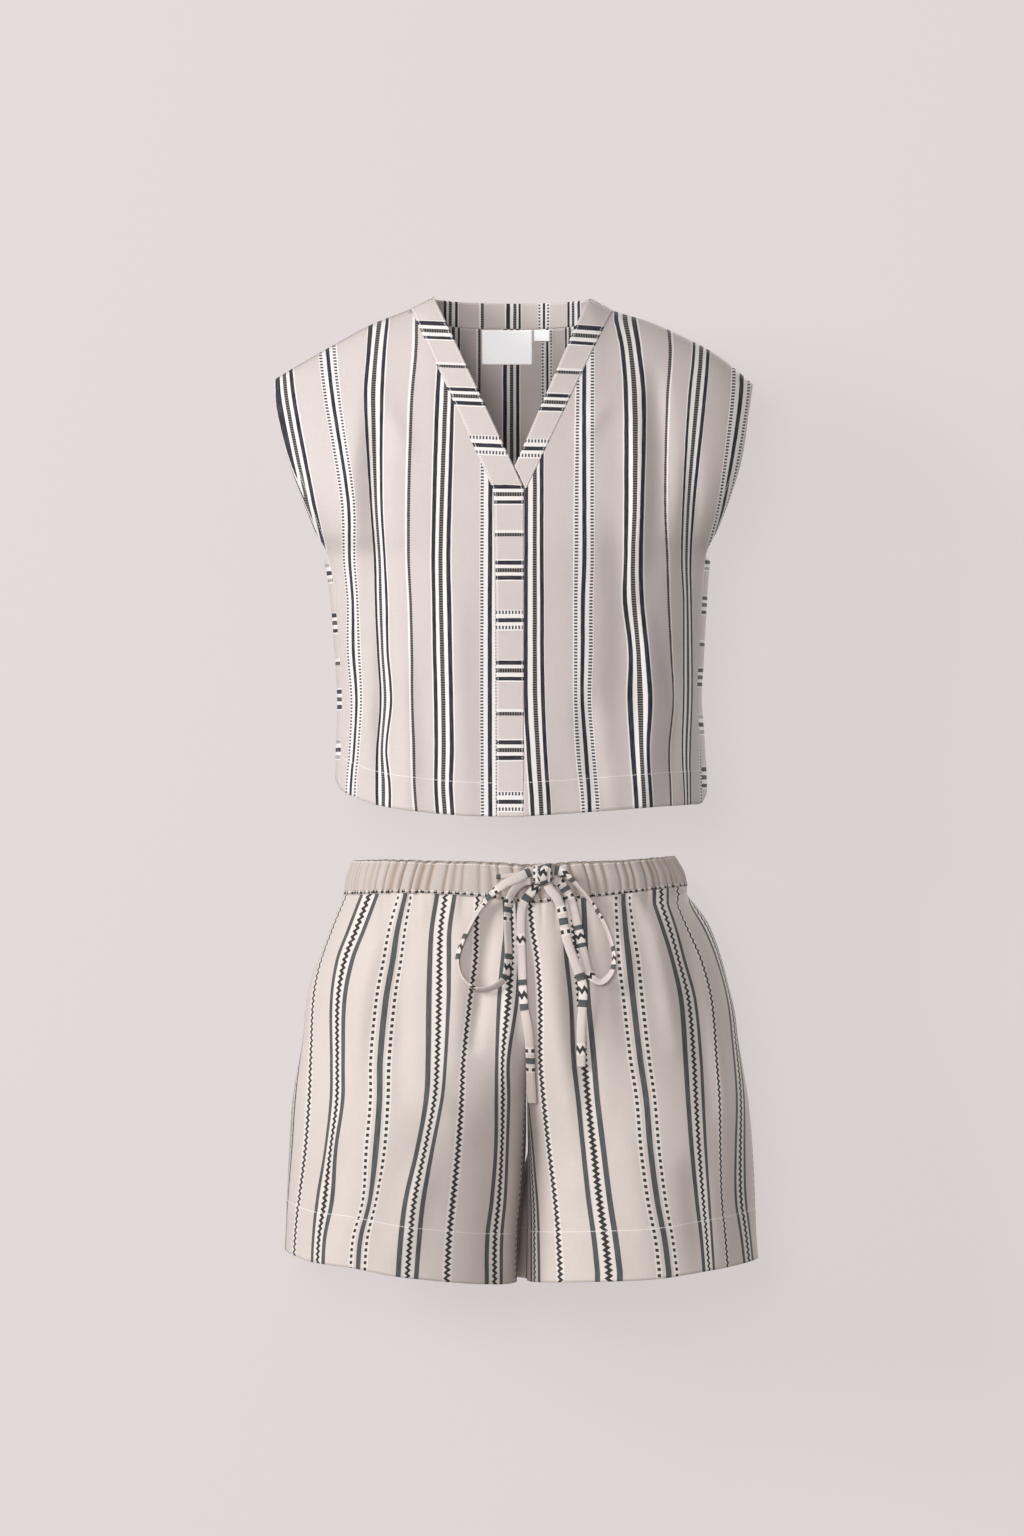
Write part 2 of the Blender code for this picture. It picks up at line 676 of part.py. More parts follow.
def shared_normals(grids):
    """Outward normals at every grid point, averaged over all the pieces that meet there."""
    normals = {}
    for rows, flip in grids:
        for j in range(len(rows) - 1):
            for i in range(len(rows[0]) - 1):
                corners = (rows[j][i], rows[j][i + 1], rows[j + 1][i + 1], rows[j + 1][i])
                normal = (corners[2] - corners[0]).cross(corners[3] - corners[1]) * flip
                for corner in corners:
                    known = normals.get(key(corner), Vector((0.0, 0.0, 0.0)))
                    normals[key(corner)] = known + normal
    return normals


def pulled_in(rows, normals, gap):
    """The grid with its four edges drawn in by half the gap that seams keep."""
    down = len(rows) - 1
    across = len(rows[0]) - 1
    moved = [[point.copy() for point in row] for row in rows]
    for j in range(down + 1):
        for i in range(across + 1):
            normal = normals[key(rows[j][i])].normalized()
            if i in (0, across):
                along = rows[min(j + 1, down)][i] - rows[max(j - 1, 0)][i]
                inward = rows[j][1 if i == 0 else across - 1] - rows[j][i]
                moved[j][i] += edge_step(normal, along, inward, gap)
            if j in (0, down):
                along = rows[j][min(i + 1, across)] - rows[j][max(i - 1, 0)]
                inward = rows[1 if j == 0 else down - 1][i] - rows[j][i]
                moved[j][i] += edge_step(normal, along, inward, gap)
    return moved


def edge_step(normal, along, inward, gap):
    """Half a seam's gap, square to the edge and in the cloth's own surface."""
    step = normal.cross(along).normalized()
    if step.dot(inward) < 0.0:
        step = -step
    return step * 0.5 * gap


def make_material(name, colour):
    material = bpy.data.materials.new(name + "_cloth")
    material.use_nodes = True
    shader = material.node_tree.nodes["Principled BSDF"]
    shader.inputs["Base Color"].default_value = (*colour, 1.0)
    shader.inputs["Roughness"].default_value = CLOTH_ROUGHNESS
    shader.inputs["Metallic"].default_value = 0.0
    return material


def place_object(name, mesh, colour):
    thing = bpy.data.objects.new(name, mesh)
    bpy.context.scene.collection.objects.link(thing)
    mesh.materials.append(make_material(name, colour))
    return thing


def cloth_wall(name, rows, normals, wall, colour, gap=SEAM_GAP):
    """One piece of cloth: the grid's points moved out and in by half the wall, and closed."""
    moved = pulled_in(rows, normals, gap)
    shape = bmesh.new()
    sides = []
    for step in (0.5 * wall, -0.5 * wall):
        sides.append([
            [shape.verts.new(point + normals[key(old)].normalized() * step) for point, old in zip(row, olds)]
            for row, olds in zip(moved, rows)
        ])
    outer, inner = sides
    down = len(rows) - 1
    across = len(rows[0]) - 1
    for j in range(down):
        for i in range(across):
            for side in sides:
                shape.faces.new((side[j][i], side[j][i + 1], side[j + 1][i + 1], side[j + 1][i]))
    rim = [(0, i) for i in range(across)] + [(j, across) for j in range(down)]
    rim += [(down, i) for i in range(across, 0, -1)] + [(j, 0) for j in range(down, 0, -1)]
    for here, there in zip(rim, rim[1:] + rim[:1]):
        a = (outer[here[0]][here[1]], outer[there[0]][there[1]])
        b = (inner[there[0]][there[1]], inner[here[0]][here[1]])
        shape.faces.new(a + b)
    bmesh.ops.triangulate(shape, faces=shape.faces[:])
    bmesh.ops.recalc_face_normals(shape, faces=shape.faces[:])
    mesh = bpy.data.meshes.new(name)
    shape.to_mesh(mesh)
    shape.free()
    mesh.shade_smooth()
    mesh.set_sharp_from_angle(angle=math.radians(50.0))
    return place_object(name, mesh, colour)


def smooth_route(points):
    """The tape's middle line and turn, read evenly from a smooth curve through the route's points."""
    lengths = [0.0]
    for before, after in zip(points, points[1:]):
        step = math.hypot(after.across - before.across, after.height - before.height)
        lengths.append(lengths[-1] + step)
    count = round(lengths[-1] * TAPE_POINTS_PER_METRE)
    line = []
    for i in range(count + 1):
        along = lengths[-1] * i / count
        across, height, lift, turn = (
            curve_value(lengths, [getattr(point, column) for point in points], along)
            for column in RoutePoint._fields
        )
        reach = max(front_cloth(across + step * TAPE_WIDTH, height) for step in (-0.6, 0.0, 0.6))
        line.append((across, -reach - lift - TAPE_CLEARANCE, height, turn))
    return line


def squared(direction):
    """The axis that a direction lies nearest to, so that a tape's cut end stands square."""
    longest = max(abs(value) for value in direction)
    return Vector([math.copysign(1.0, value) if abs(value) == longest else 0.0 for value in direction])


def tape(name, points):
    """One free stretch of the flat drawstring, its six-sided section swept along the route."""
    line = smooth_route(points)
    places = [Vector(row[:3]) for row in line]
    last = len(line) - 1
    shape = bmesh.new()
    rings = []
    for i, place in enumerate(places):
        along = (places[min(i + 1, last)] - places[max(i - 1, 0)]).normalized()
        if i in (0, last):
            along = squared(along)
        across = along.cross(Vector((0.0, -1.0, 0.0))).normalized()
        turned = Quaternion(along, math.radians(line[i][3])) @ across
        face = turned.cross(along).normalized()
        ring = []
        for width, depth in TAPE_SECTION:
            offset = turned * (0.5 * TAPE_WIDTH * width) + face * (0.5 * TAPE_THICKNESS * depth)
            ring.append(shape.verts.new(place + offset))
        rings.append(ring)
    sides = len(TAPE_SECTION)
    for before, after in zip(rings, rings[1:]):
        for k in range(sides):
            n = (k + 1) % sides
            shape.faces.new((before[k], before[n], after[n], after[k]))
    shape.faces.new(rings[0])
    shape.faces.new(rings[-1])
    bmesh.ops.triangulate(shape, faces=shape.faces[:])
    bmesh.ops.recalc_face_normals(shape, faces=shape.faces[:])
    mesh = bpy.data.meshes.new(name)
    shape.to_mesh(mesh)
    shape.free()
    mesh.shade_smooth()
    mesh.set_sharp_from_angle(angle=math.radians(50.0))
    return place_object(name, mesh, TAPE_CLOTH)


def knot():
    """The knot, a rounded block before the waistband."""
    shape = bmesh.new()
    bmesh.ops.create_cube(shape, size=1.0)
    for vert in shape.verts:
        vert.co = Vector([c + v * s for c, v, s in zip(KNOT_CENTRE, vert.co, KNOT_SIZE)])
    bmesh.ops.bevel(
        shape,
        geom=shape.edges[:],
        offset=KNOT_ROUNDING,
        segments=KNOT_ROUNDING_STEPS,
        profile=0.5,
        affect="EDGES",
    )
    bmesh.ops.triangulate(shape, faces=shape.faces[:])
    bmesh.ops.recalc_face_normals(shape, faces=shape.faces[:])
    mesh = bpy.data.meshes.new("drawstring_knot")
    shape.to_mesh(mesh)
    shape.free()
    mesh.shade_smooth()
    return place_object("drawstring_knot", mesh, TAPE_CLOTH)


def build_top():
    right_front = front_grid(-1)
    left_front = front_grid(1)
    back = back_grid()
    right_strip = strip_grid(-1)
    left_strip = strip_grid(1)
    neck_seam = back[-1][SHOULDER_CELLS : SHOULDER_CELLS + BACK_NECK_CELLS + 1]
    right_band = band_grid(-1, right_front[-1][: V_CELLS + 1])
    left_band = band_grid(1, left_front[-1][: V_CELLS + 1])
    back_band = back_band_grid(neck_seam)
    placket = placket_grid([row[0] for row in right_front])
    normals = shared_normals((
        (right_front, -1.0),
        (left_front, 1.0),
        (back, -1.0),
        (right_strip, 1.0),
        (left_strip, -1.0),
        (right_band, 1.0),
        (left_band, -1.0),
        (back_band, 1.0),
        (placket, 1.0),
    ))
    cloth_wall("top_front_right", right_front, normals, PANEL_WALL, TOP_CLOTH)
    cloth_wall("top_front_left", left_front, normals, PANEL_WALL, TOP_CLOTH)
    cloth_wall("top_back", back, normals, PANEL_WALL, TOP_CLOTH)
    cloth_wall("top_side_strip_right", right_strip, normals, PANEL_WALL, BAND_CLOTH)
    cloth_wall("top_side_strip_left", left_strip, normals, PANEL_WALL, BAND_CLOTH)
    cloth_wall("neckband_right", right_band, normals, BAND_WALL, BAND_CLOTH)
    cloth_wall("neckband_left", left_band, normals, BAND_WALL, BAND_CLOTH)
    cloth_wall("neckband_back", back_band, normals, BAND_WALL, BAND_CLOTH)
    cloth_wall("placket", placket, normals, BAND_WALL, BAND_CLOTH)
    for name, edges in (("neck_label", LABEL_EDGES), ("size_tab", SIZE_TAB_EDGES)):
        rows = label_grid(edges)
        cloth_wall(name, rows, shared_normals(((rows, -1.0),)), LABEL_WALL, LABEL_CLOTH)


def build_shorts():
    grids = {}
    for side, half in ((-1, "right"), (1, "left")):
        for back, face in ((False, "front"), (True, "back")):
            grids[f"shorts_{face}_{half}"] = (leg_grid(side, back), -side * (-1.0 if back else 1.0))
    normals = shared_normals(grids.values())
    for name, (rows, _) in grids.items():
        cloth_wall(name, rows, normals, PANEL_WALL, SHORTS_CLOTH)
    bands = {"waistband_front": (waistband_grid(False), 1.0), "waistband_back": (waistband_grid(True), -1.0)}
    normals = shared_normals(bands.values())
    for name, (rows, _) in bands.items():
        cloth_wall(name, rows, normals, WAISTBAND_WALL, WAIST_CLOTH, WAIST_SEAM_GAP)


def build_drawstring():
    knot()
    tape("drawstring_loop_right", RIGHT_LOOP)
    tape("drawstring_loop_left", LEFT_LOOP)
    tape("drawstring_tail_right", RIGHT_TAIL)
    tape("drawstring_tail_left", LEFT_TAIL)


clear_scene()
build_top()
build_shorts()
build_drawstring()
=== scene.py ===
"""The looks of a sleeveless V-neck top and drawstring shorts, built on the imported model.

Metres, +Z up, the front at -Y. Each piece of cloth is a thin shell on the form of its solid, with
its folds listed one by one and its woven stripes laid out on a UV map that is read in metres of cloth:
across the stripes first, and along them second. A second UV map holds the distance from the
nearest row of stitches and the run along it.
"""

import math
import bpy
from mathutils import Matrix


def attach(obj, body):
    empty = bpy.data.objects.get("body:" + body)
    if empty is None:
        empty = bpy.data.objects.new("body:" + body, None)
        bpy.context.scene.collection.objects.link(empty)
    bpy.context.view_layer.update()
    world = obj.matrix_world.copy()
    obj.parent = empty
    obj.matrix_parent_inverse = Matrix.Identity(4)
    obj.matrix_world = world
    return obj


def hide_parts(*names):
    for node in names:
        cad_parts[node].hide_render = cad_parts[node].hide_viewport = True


bl_info = {
    "name": "Striped top and drawstring shorts",
    "version": (1, 0, 0),
    "blender": (4, 5, 0),
    "location": "3D View > Sidebar > Clothes",
    "description": "Builds the cloth, bands, drawstring and stage of a two-piece set on its packed frame",
    "category": "Object",
}

import bmesh
import bpy
import numpy as np
from bpy.props import FloatProperty, FloatVectorProperty, PointerProperty
from bpy.types import Operator, Panel, PropertyGroup
from mathutils import Vector

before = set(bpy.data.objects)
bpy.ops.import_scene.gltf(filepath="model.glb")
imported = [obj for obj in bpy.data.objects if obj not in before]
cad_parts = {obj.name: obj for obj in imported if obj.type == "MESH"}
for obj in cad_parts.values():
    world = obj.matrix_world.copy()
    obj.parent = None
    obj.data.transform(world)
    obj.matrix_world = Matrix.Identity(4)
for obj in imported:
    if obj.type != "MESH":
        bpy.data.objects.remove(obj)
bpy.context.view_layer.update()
BODY = "root"

# Photograph's frame: where its origin lies, and how it was taken
PHOTO_CENTRE = (-0.003, -0.468)
CAMERA_DISTANCE = 8.0
LENS = 187.5
SENSOR = 36.0

# Form of the top
SECTION_POWER = 2.3
SHOULDER_ROLL_FRONT = 0.24
SHOULDER_ROLL_BACK = 0.20
SHOULDER_ROLL_POWER = 0.56
UNDERARM = -0.257
ARMHOLE_RISE = 0.032
SIDE_SEAM_SHARE = 0.970
STRIP_DIP = 0.005
TOP_HEM_DEPTH = 0.033
HEM_WAVE_DEPTH = 0.0011
HEM_EXTRA_WALL = 0.0007
HEM_STEP_WIDTH = 0.0012
STITCH_SINK = 0.0005
STITCH_SINK_WIDTH = 0.0009
ARMHOLE_STITCH = 0.007
NECK_CORNER_RIGHT = (-0.104, -0.0095)
NECK_CORNER_LEFT = (0.097, -0.0110)
BAND_TOP_RIGHT = (-0.081, 0.0020)
BAND_TOP_LEFT = (0.073, 0.0005)
V_END_RIGHT = (-0.0245, -0.1870)
V_END_LEFT = (0.0108, -0.1935)
BAND_END_RIGHT = (0.0086, -0.1925)
BAND_END_LEFT = (-0.0002, -0.1705)
BACK_NECK_DROP = -0.026
BACK_NECK_POWER = 4.0
BACK_BAND_SHARE = 0.78
BACK_BAND_LEAN = 0.90
BACK_BAND_TOP = -0.001
LABEL_EDGES = (-0.033, 0.017, -0.0275, -0.061)
SIZE_TAB_EDGES = (0.0195, 0.0345, -0.0275, -0.038)
LABEL_CLEARANCE = 0.0012
LABEL_LIFT = 0.0012

# Form of the shorts
HIP_POWER = 2.2
CROTCH_START = -0.715
CROTCH_END = -0.862
BACK_GATHER_SHIFT = 0.37 / 62.0
WAIST_MIDDLE = 0.0005
WAIST_HALF_WIDTH = 0.1705
LEG_GATHER_DEPTH = 0.0020
LEG_GATHER_LENGTH = 0.016
LEG_CELLS_ACROSS = 120
LEG_CELLS_DOWN = 140
GATHER_DEPTH = 0.0011
GATHER_UNEVENNESS = 0.34
BAND_GATHERS = 43
GATHER_FADE = 0.045
PANEL_GATHER_DEPTH = 0.0016
PANEL_GATHERS = 7
WAIST_SWELL = 0.0012
SEAM_STEP = 0.008
WAISTBAND_GAP = 0.0006
WAISTBAND_COLUMNS = 621
WAISTBAND_ROWS = 19
WAISTBAND_CLOTH_START = 0.1113
WAISTBAND_CLOTH_DEPTH = 0.031
WAISTBAND_CLOTH_LENGTH = 0.44
WAISTBAND_DEPTH = 0.032
LOWER_STITCHES = 0.0030
UPPER_STITCHES = 0.0305
SHORTS_HEM_DEPTH = 0.050
CENTRE_ACROSS = 0.010

# Drawstring
TAPE_WIDTH = 0.0090
TAPE_THICKNESS = 0.0024
TAPE_CLEARANCE = 0.0008
TAPE_DOT_SHIFT = 0.0047
TAPE_POINTS_PER_METRE = 420
KNOT_CENTRE = (0.0270, -0.1060, -0.5730)
KNOT_SIZE = (0.0230, 0.0150, 0.0200)
KNOT_CLOTH_START = 0.1040

# For each wrap of the knot its shift and lean across, its turn, its size and the cloth at its start
KNOT_WRAPS = (
    (-0.0042, 0.0040, -0.3, 1.0, 0.1365),
    (0.0050, -0.0050, 0.5, 1.03, 0.0225),
)
WRAP_POINTS = 60
EAR_POINTS = 24
EAR_CLOTH_START = 0.1180

# Each table's first column is the place, and the rest are read on a smooth curve between its rows
TOP_FORM = {
    "height": (-0.080, -0.110, -0.160, -0.200, -0.235, -0.257, -0.290, -0.360, -0.400, -0.440, -0.520),
    "right": (0.240, 0.237, 0.225, 0.211, 0.198, 0.191, 0.185, 0.179, 0.177, 0.178, 0.179),
    "left": (0.238, 0.233, 0.225, 0.213, 0.200, 0.195, 0.192, 0.188, 0.186, 0.189, 0.192),
    "front": (0.104, 0.108, 0.116, 0.122, 0.125, 0.126, 0.125, 0.122, 0.120, 0.119, 0.118),
    "back": (0.092, 0.096, 0.102, 0.105, 0.106, 0.106, 0.105, 0.104, 0.104, 0.104, 0.104),
    "armhole": (0.040, 0.052, 0.062, 0.054, 0.032, 0.0, 0.0, 0.0, 0.0, 0.0, 0.0),
}
SHOULDER_FORM = {
    "across": (-0.240, -0.215, -0.180, -0.145, -0.104, -0.081, 0.0, 0.073, 0.097, 0.135, 0.175, 0.205, 0.238),
    "height": (
        -0.0800, -0.0650, -0.0450, -0.0260, -0.0095, 0.0020, 0.0200,
        0.0005, -0.0110, -0.0230, -0.0410, -0.0580, -0.0850,
    ),
}
TOP_HEM_FORM = {
    "share": (0.00, 0.25, 0.47, 0.75, 0.91, 0.97, 1.00),
    "right": (-0.516, -0.515, -0.512, -0.505, -0.495, -0.488, -0.478),
    "left": (-0.516, -0.513, -0.510, -0.506, -0.504, -0.502, -0.491),
}
PLACKET_FORM = {
    "height": (-0.1870, -0.1970, -0.2100, -0.3000, -0.5160),
    "right": (-0.0245, -0.0212, -0.0203, -0.0188, -0.0180),
    "left": (0.0108, 0.0098, 0.0087, 0.0086, 0.0086),
}
SHORTS_FORM = {
    "height": (-0.595, -0.621, -0.650, -0.685, -0.712, -0.740, -0.800, -0.850, -0.893, -0.929, -0.985),
    "right": (-0.170, -0.181, -0.192, -0.205, -0.209, -0.2115, -0.2215, -0.2248, -0.227, -0.228, -0.231),
    "left": (0.171, 0.191, 0.203, 0.2125, 0.219, 0.2225, 0.2325, 0.2368, 0.239, 0.240, 0.244),
    "front": (0.098, 0.105, 0.1115, 0.1155, 0.117, 0.1185, 0.1200, 0.1160, 0.1130, 0.1110, 0.1090),
    "back": (0.098, 0.109, 0.115, 0.120, 0.122, 0.123, 0.123, 0.118, 0.115, 0.113, 0.111),
    "right_inner": (0.0100, 0.0102, 0.0105, 0.0108, 0.0112, 0.0103, 0.0104, 0.0100, 0.0065, 0.0030, 0.0005),
    "left_inner": (0.0100, 0.0102, 0.0105, 0.0108, 0.0112, 0.0127, 0.0130, 0.0135, 0.0138, 0.0136, 0.0130),
}
LEVELS = {
    "across": (
        -0.231, -0.204, -0.165, -0.121, -0.079, -0.031, 0.002,
        0.020, 0.059, 0.106, 0.140, 0.171, 0.212, 0.244,
    ),
    "band_top": (
        -0.5610, -0.5610, -0.5605, -0.5600, -0.5615, -0.5625, -0.5645,
        -0.5650, -0.5625, -0.5610, -0.5580, -0.5555, -0.5555, -0.5555,
    ),
    "band_bottom": (
        -0.5950, -0.5950, -0.5945, -0.5920, -0.5925, -0.5955, -0.6000,
        -0.6015, -0.5975, -0.5930, -0.5890, -0.5860, -0.5860, -0.5860,
    ),
    "hem": (
        -0.949, -0.957, -0.961, -0.969, -0.974, -0.979, -0.981,
        -0.979, -0.976, -0.974, -0.972, -0.968, -0.962, -0.957,
    ),
}
WAISTBAND_FORM = {
    "rise": (0.0, 0.5, 1.0),
    "right": (-0.170, -0.166, -0.161),
    "left": (0.171, 0.166, 0.1585),
    "depth": (0.0985, 0.0965, 0.0935),
    "swell": (0.0, 1.0, 0.0),
}

# Tape routes: place across, height, how far the middle lies before the cloth, and turn in degrees
RIGHT_LOOP = (
    (0.0151, -0.5705, 0.0100, 0), (0.0095, -0.5728, 0.0110, 5), (0.0030, -0.5765, 0.0116, 10),
    (-0.0110, -0.5825, 0.0112, 25), (-0.0225, -0.5915, 0.0090, 50), (-0.0345, -0.6060, 0.0075, 65),
    (-0.0435, -0.6210, 0.0068, 70), (-0.0520, -0.6390, 0.0066, 70), (-0.0570, -0.6580, 0.0066, 70),
    (-0.0520, -0.6750, 0.0066, 70), (-0.0390, -0.6850, 0.0068, 65), (-0.0220, -0.6840, 0.0075, 55),
    (-0.0105, -0.6750, 0.0080, 40), (-0.0065, -0.6560, 0.0080, 35), (-0.0070, -0.6350, 0.0080, 35),
    (-0.0075, -0.6130, 0.0080, 35), (-0.0050, -0.5960, 0.0082, 30), (0.0025, -0.5845, 0.0090, 20),
    (0.0090, -0.5798, 0.0080, 5), (0.0151, -0.5788, 0.0075, 0),
)
RIGHT_TAIL = (
    (0.0215, -0.5834, 0.0034, 0), (0.0185, -0.5880, 0.0032, 0), (0.0125, -0.5950, 0.0030, 0),
    (0.0070, -0.6060, 0.0030, 0), (0.0058, -0.6280, 0.0030, 0), (0.0062, -0.6520, 0.0032, 10),
    (0.0072, -0.6780, 0.0038, 25), (0.0088, -0.7030, 0.0038, 25), (0.0130, -0.7260, 0.0034, 10),
    (0.0148, -0.7500, 0.0034, 10), (0.0155, -0.7740, 0.0034, 10), (0.0170, -0.7990, 0.0034, 10),
)
LEFT_LOOP = (
    (0.0389, -0.5690, 0.0095, 0), (0.0440, -0.5698, 0.0098, 10), (0.0510, -0.5740, 0.0105, 45),
    (0.0610, -0.5835, 0.0085, 65), (0.0740, -0.5990, 0.0070, 70), (0.0840, -0.6140, 0.0066, 70),
    (0.0920, -0.6310, 0.0066, 70), (0.0975, -0.6520, 0.0066, 70), (0.0950, -0.6690, 0.0066, 60),
    (0.0850, -0.6785, 0.0060, 45), (0.0750, -0.6730, 0.0050, 25), (0.0690, -0.6560, 0.0038, 10),
    (0.0645, -0.6360, 0.0032, 0), (0.0600, -0.6160, 0.0030, 0), (0.0545, -0.5970, 0.0030, 0),
    (0.0485, -0.5860, 0.0032, 0), (0.0440, -0.5806, 0.0040, 0), (0.0389, -0.5788, 0.0045, 0),
)
LEFT_TAIL = (
    (0.0325, -0.5834, 0.0075, 0), (0.0345, -0.5880, 0.0080, 0), (0.0405, -0.5950, 0.0085, 0),
    (0.0455, -0.6060, 0.0075, 0), (0.0480, -0.6200, 0.0070, 0), (0.0520, -0.6400, 0.0070, 0),
    (0.0600, -0.6620, 0.0075, 0), (0.0665, -0.6820, 0.0075, 10), (0.0665, -0.7010, 0.0060, 15),
    (0.0650, -0.7220, 0.0045, 15), (0.0650, -0.7420, 0.0036, 10), (0.0650, -0.7620, 0.0034, 10),
)

# The top's stripes, in millimetres of cloth: the repeat, and each line's middle, width and yarn
TOP_REPEAT = 178.0
TOP_START = 20.0
TOP_BANDS = (
    (-7.6, 3.4, "dotted"), (0.0, 4.2, "navy"), (7.6, 3.4, "dotted"),
    (42.8, 3.9, "navy"), (50.5, 4.3, "brown"), (58.2, 3.9, "navy"),
    (86.5, 3.5, "brown"),
    (119.8, 3.9, "navy"), (127.5, 4.3, "brown"), (135.2, 3.9, "navy"),
)
TOP_BRIGHT = ((0.0, 21.0), (50.5, 22.0), (88.0, 6.0), (127.5, 22.0))

# The shorts' stripes in the same way: grey bars, zigzags and dots
SHORTS_REPEAT = 208.0
SHORTS_START = 20.0
SHORTS_BANDS = (
    (36.5, 5.6, "navy"), (57.5, 5.6, "navy"), (95.0, 3.0, "dotted"), (104.0, 5.6, "navy"),
    (113.0, 3.0, "dotted"), (150.5, 5.6, "navy"), (171.5, 5.6, "navy"),
)
SHORTS_ZIGZAGS = ((0.0, 4.2, "brown"), (47.0, 4.2, "brown"), (161.0, 4.2, "brown"))
SHORTS_BRIGHT = ((0.0, 10.0), (47.0, 14.0), (95.0, 7.0), (113.0, 7.0), (161.0, 14.0))

# Where the stripes run on the fronts, seen from the photograph's place: for each line of the cloth
# (first column, millimetres of cloth) its place across, at the heights in the table's first row.
# Both are in millimetres from the photograph's origin.
TOP_RIGHT_LINES = (
    (None, -20, -50, -100, -200, -260, -300, -350, -400, -450, -485, -516),
    (-7.6, -17, -17, -17, -17, -17, -17, -17, -17, -17, -17, -17),
    (0.0, -24, -24, -24, -24.4, -24.6, -25, -25, -25, -25, -24.6, -24.4),
    (7.6, -32, -32, -32, -32.4, -32.6, -32.6, -32.8, -32.8, -32.6, -32.3, -32.1),
    (42.8, -60, -61, -62, -64.8, -66, -65, -64, -63, -62.1, -63.2, -61.5),
    (50.5, -66, -67, -68.8, -72.6, -74, -73.6, -72.3, -71.1, -70.7, -71.1, -69.2),
    (58.2, -73, -74, -77.4, -80.3, -81.3, -80.7, -80, -78.8, -78.4, -78.8, -76.9),
    (86.5, -98, -98.5, -102.9, -106.1, -106.1, -104.2, -102.9, -102.9, -101, -100.4, -97.9),
    (119.8, -127, -130, -132.5, -133, -129.7, -127.7, -126.6, -122.8, -128.1, -124.3, -124.3),
    (127.5, -134, -138.1, -141.1, -138.6, -134.8, -133.9, -132, -129.1, -132.5, -130.4, -131),
    (135.2, -143, -145.3, -149.2, -144.4, -139.6, -138.6, -136.7, -133.9, -137.7, -137.7, -136.7),
    (170.4, -181, -180.2, -175, -160.6, -159.7, -156.8, -155, -153, -155.9, -158.7, -160),
    (178.0, -188, -187, -181.7, -166.4, -164.5, -161.6, -161, -157.8, -160.2, -163, -164),
    (185.6, -195, -194.1, -188.4, -172.1, -170.2, -166.4, -166.4, -162.6, -164.5, -167.3, -168),
    (220.8, -226, -225, -220, -200.8, -187.4, -185, -183, -181, -181, -182, -182),
    (228.5, -232, -231, -227.6, -207.5, -194, -189, -187, -185, -185, -186, -186),
    (236.2, -238, -237, -234.3, -213.3, -201, -193, -191, -189, -189, -190, -190),
    (271.0, -262, -262, -260, -240, -228, -215, -208, -206, -206, -207, -207),
)
TOP_LEFT_LINES = (
    (None, -20, -50, -100, -200, -260, -300, -350, -400, -450, -500, -516),
    (-91.5, -25, -25, -25, -25, -25, -25, -25, -25, -24, -23, -22),
    (-58.2, 10.5, 10.5, 10.5, 10.8, 10.6, 10.4, 10.4, 10.4, 13, 16.6, 17.5),
    (-50.5, 19, 19, 19.2, 19.6, 19.4, 19.4, 19.4, 19.8, 22.3, 25.2, 26),
    (-42.8, 26, 26, 26, 26, 26.1, 26.5, 26.5, 27.5, 29.6, 32.8, 33.6),
    (-7.6, 62, 62.5, 62.5, 61, 60.6, 60.2, 60.2, 60.2, 62.1, 67.3, 68),
    (0.0, 69, 69, 68.6, 69.2, 69.2, 67.6, 67.3, 66.9, 70.5, 73.6, 74.5),
    (7.6, 77, 77, 76.8, 76.4, 76.4, 75.3, 74.9, 73.4, 77.2, 81.2, 82),
    (42.8, 99.8, 106.5, 110.3, 110.7, 110.3, 109, 115.1, 114.1, 117, 120.8, 121.5),
    (50.5, 109.4, 115, 118.9, 119.9, 117.4, 118.3, 122.7, 124.7, 126.6, 128.5, 129),
    (58.2, 118, 123, 128.5, 126.6, 125, 126.2, 131.4, 135.2, 132.7, 135.2, 136),
    (86.5, 152.4, 155.3, 152.4, 150.5, 152.4, 153.4, 155.8, 158.1, 153.7, 155.3, 155.3),
    (119.8, 177, 178.2, 173.4, 167.7, 165.8, 167.7, 167.7, 167.7, 166.7, 168.7, 168.7),
    (127.5, 184, 185.3, 181.1, 172.5, 170.5, 171.5, 172, 172, 170.5, 171.5, 171.5),
    (135.2, 191, 192.6, 188.7, 178.6, 174.8, 175.4, 176.3, 176.3, 174.4, 174.4, 174.4),
    (170.4, 219, 218, 216.5, 204, 190.5, 187, 185, 184.5, 184.5, 185, 185),
    (178.0, 226, 226, 225, 208.8, 194.5, 191, 188.5, 188, 188, 188.5, 188.5),
    (185.6, 233, 233, 231.8, 214, 198, 194, 191.5, 191, 191, 191.5, 191.5),
    (220.8, 262, 262, 260, 240, 222, 214, 208, 206, 206, 208, 208),
)
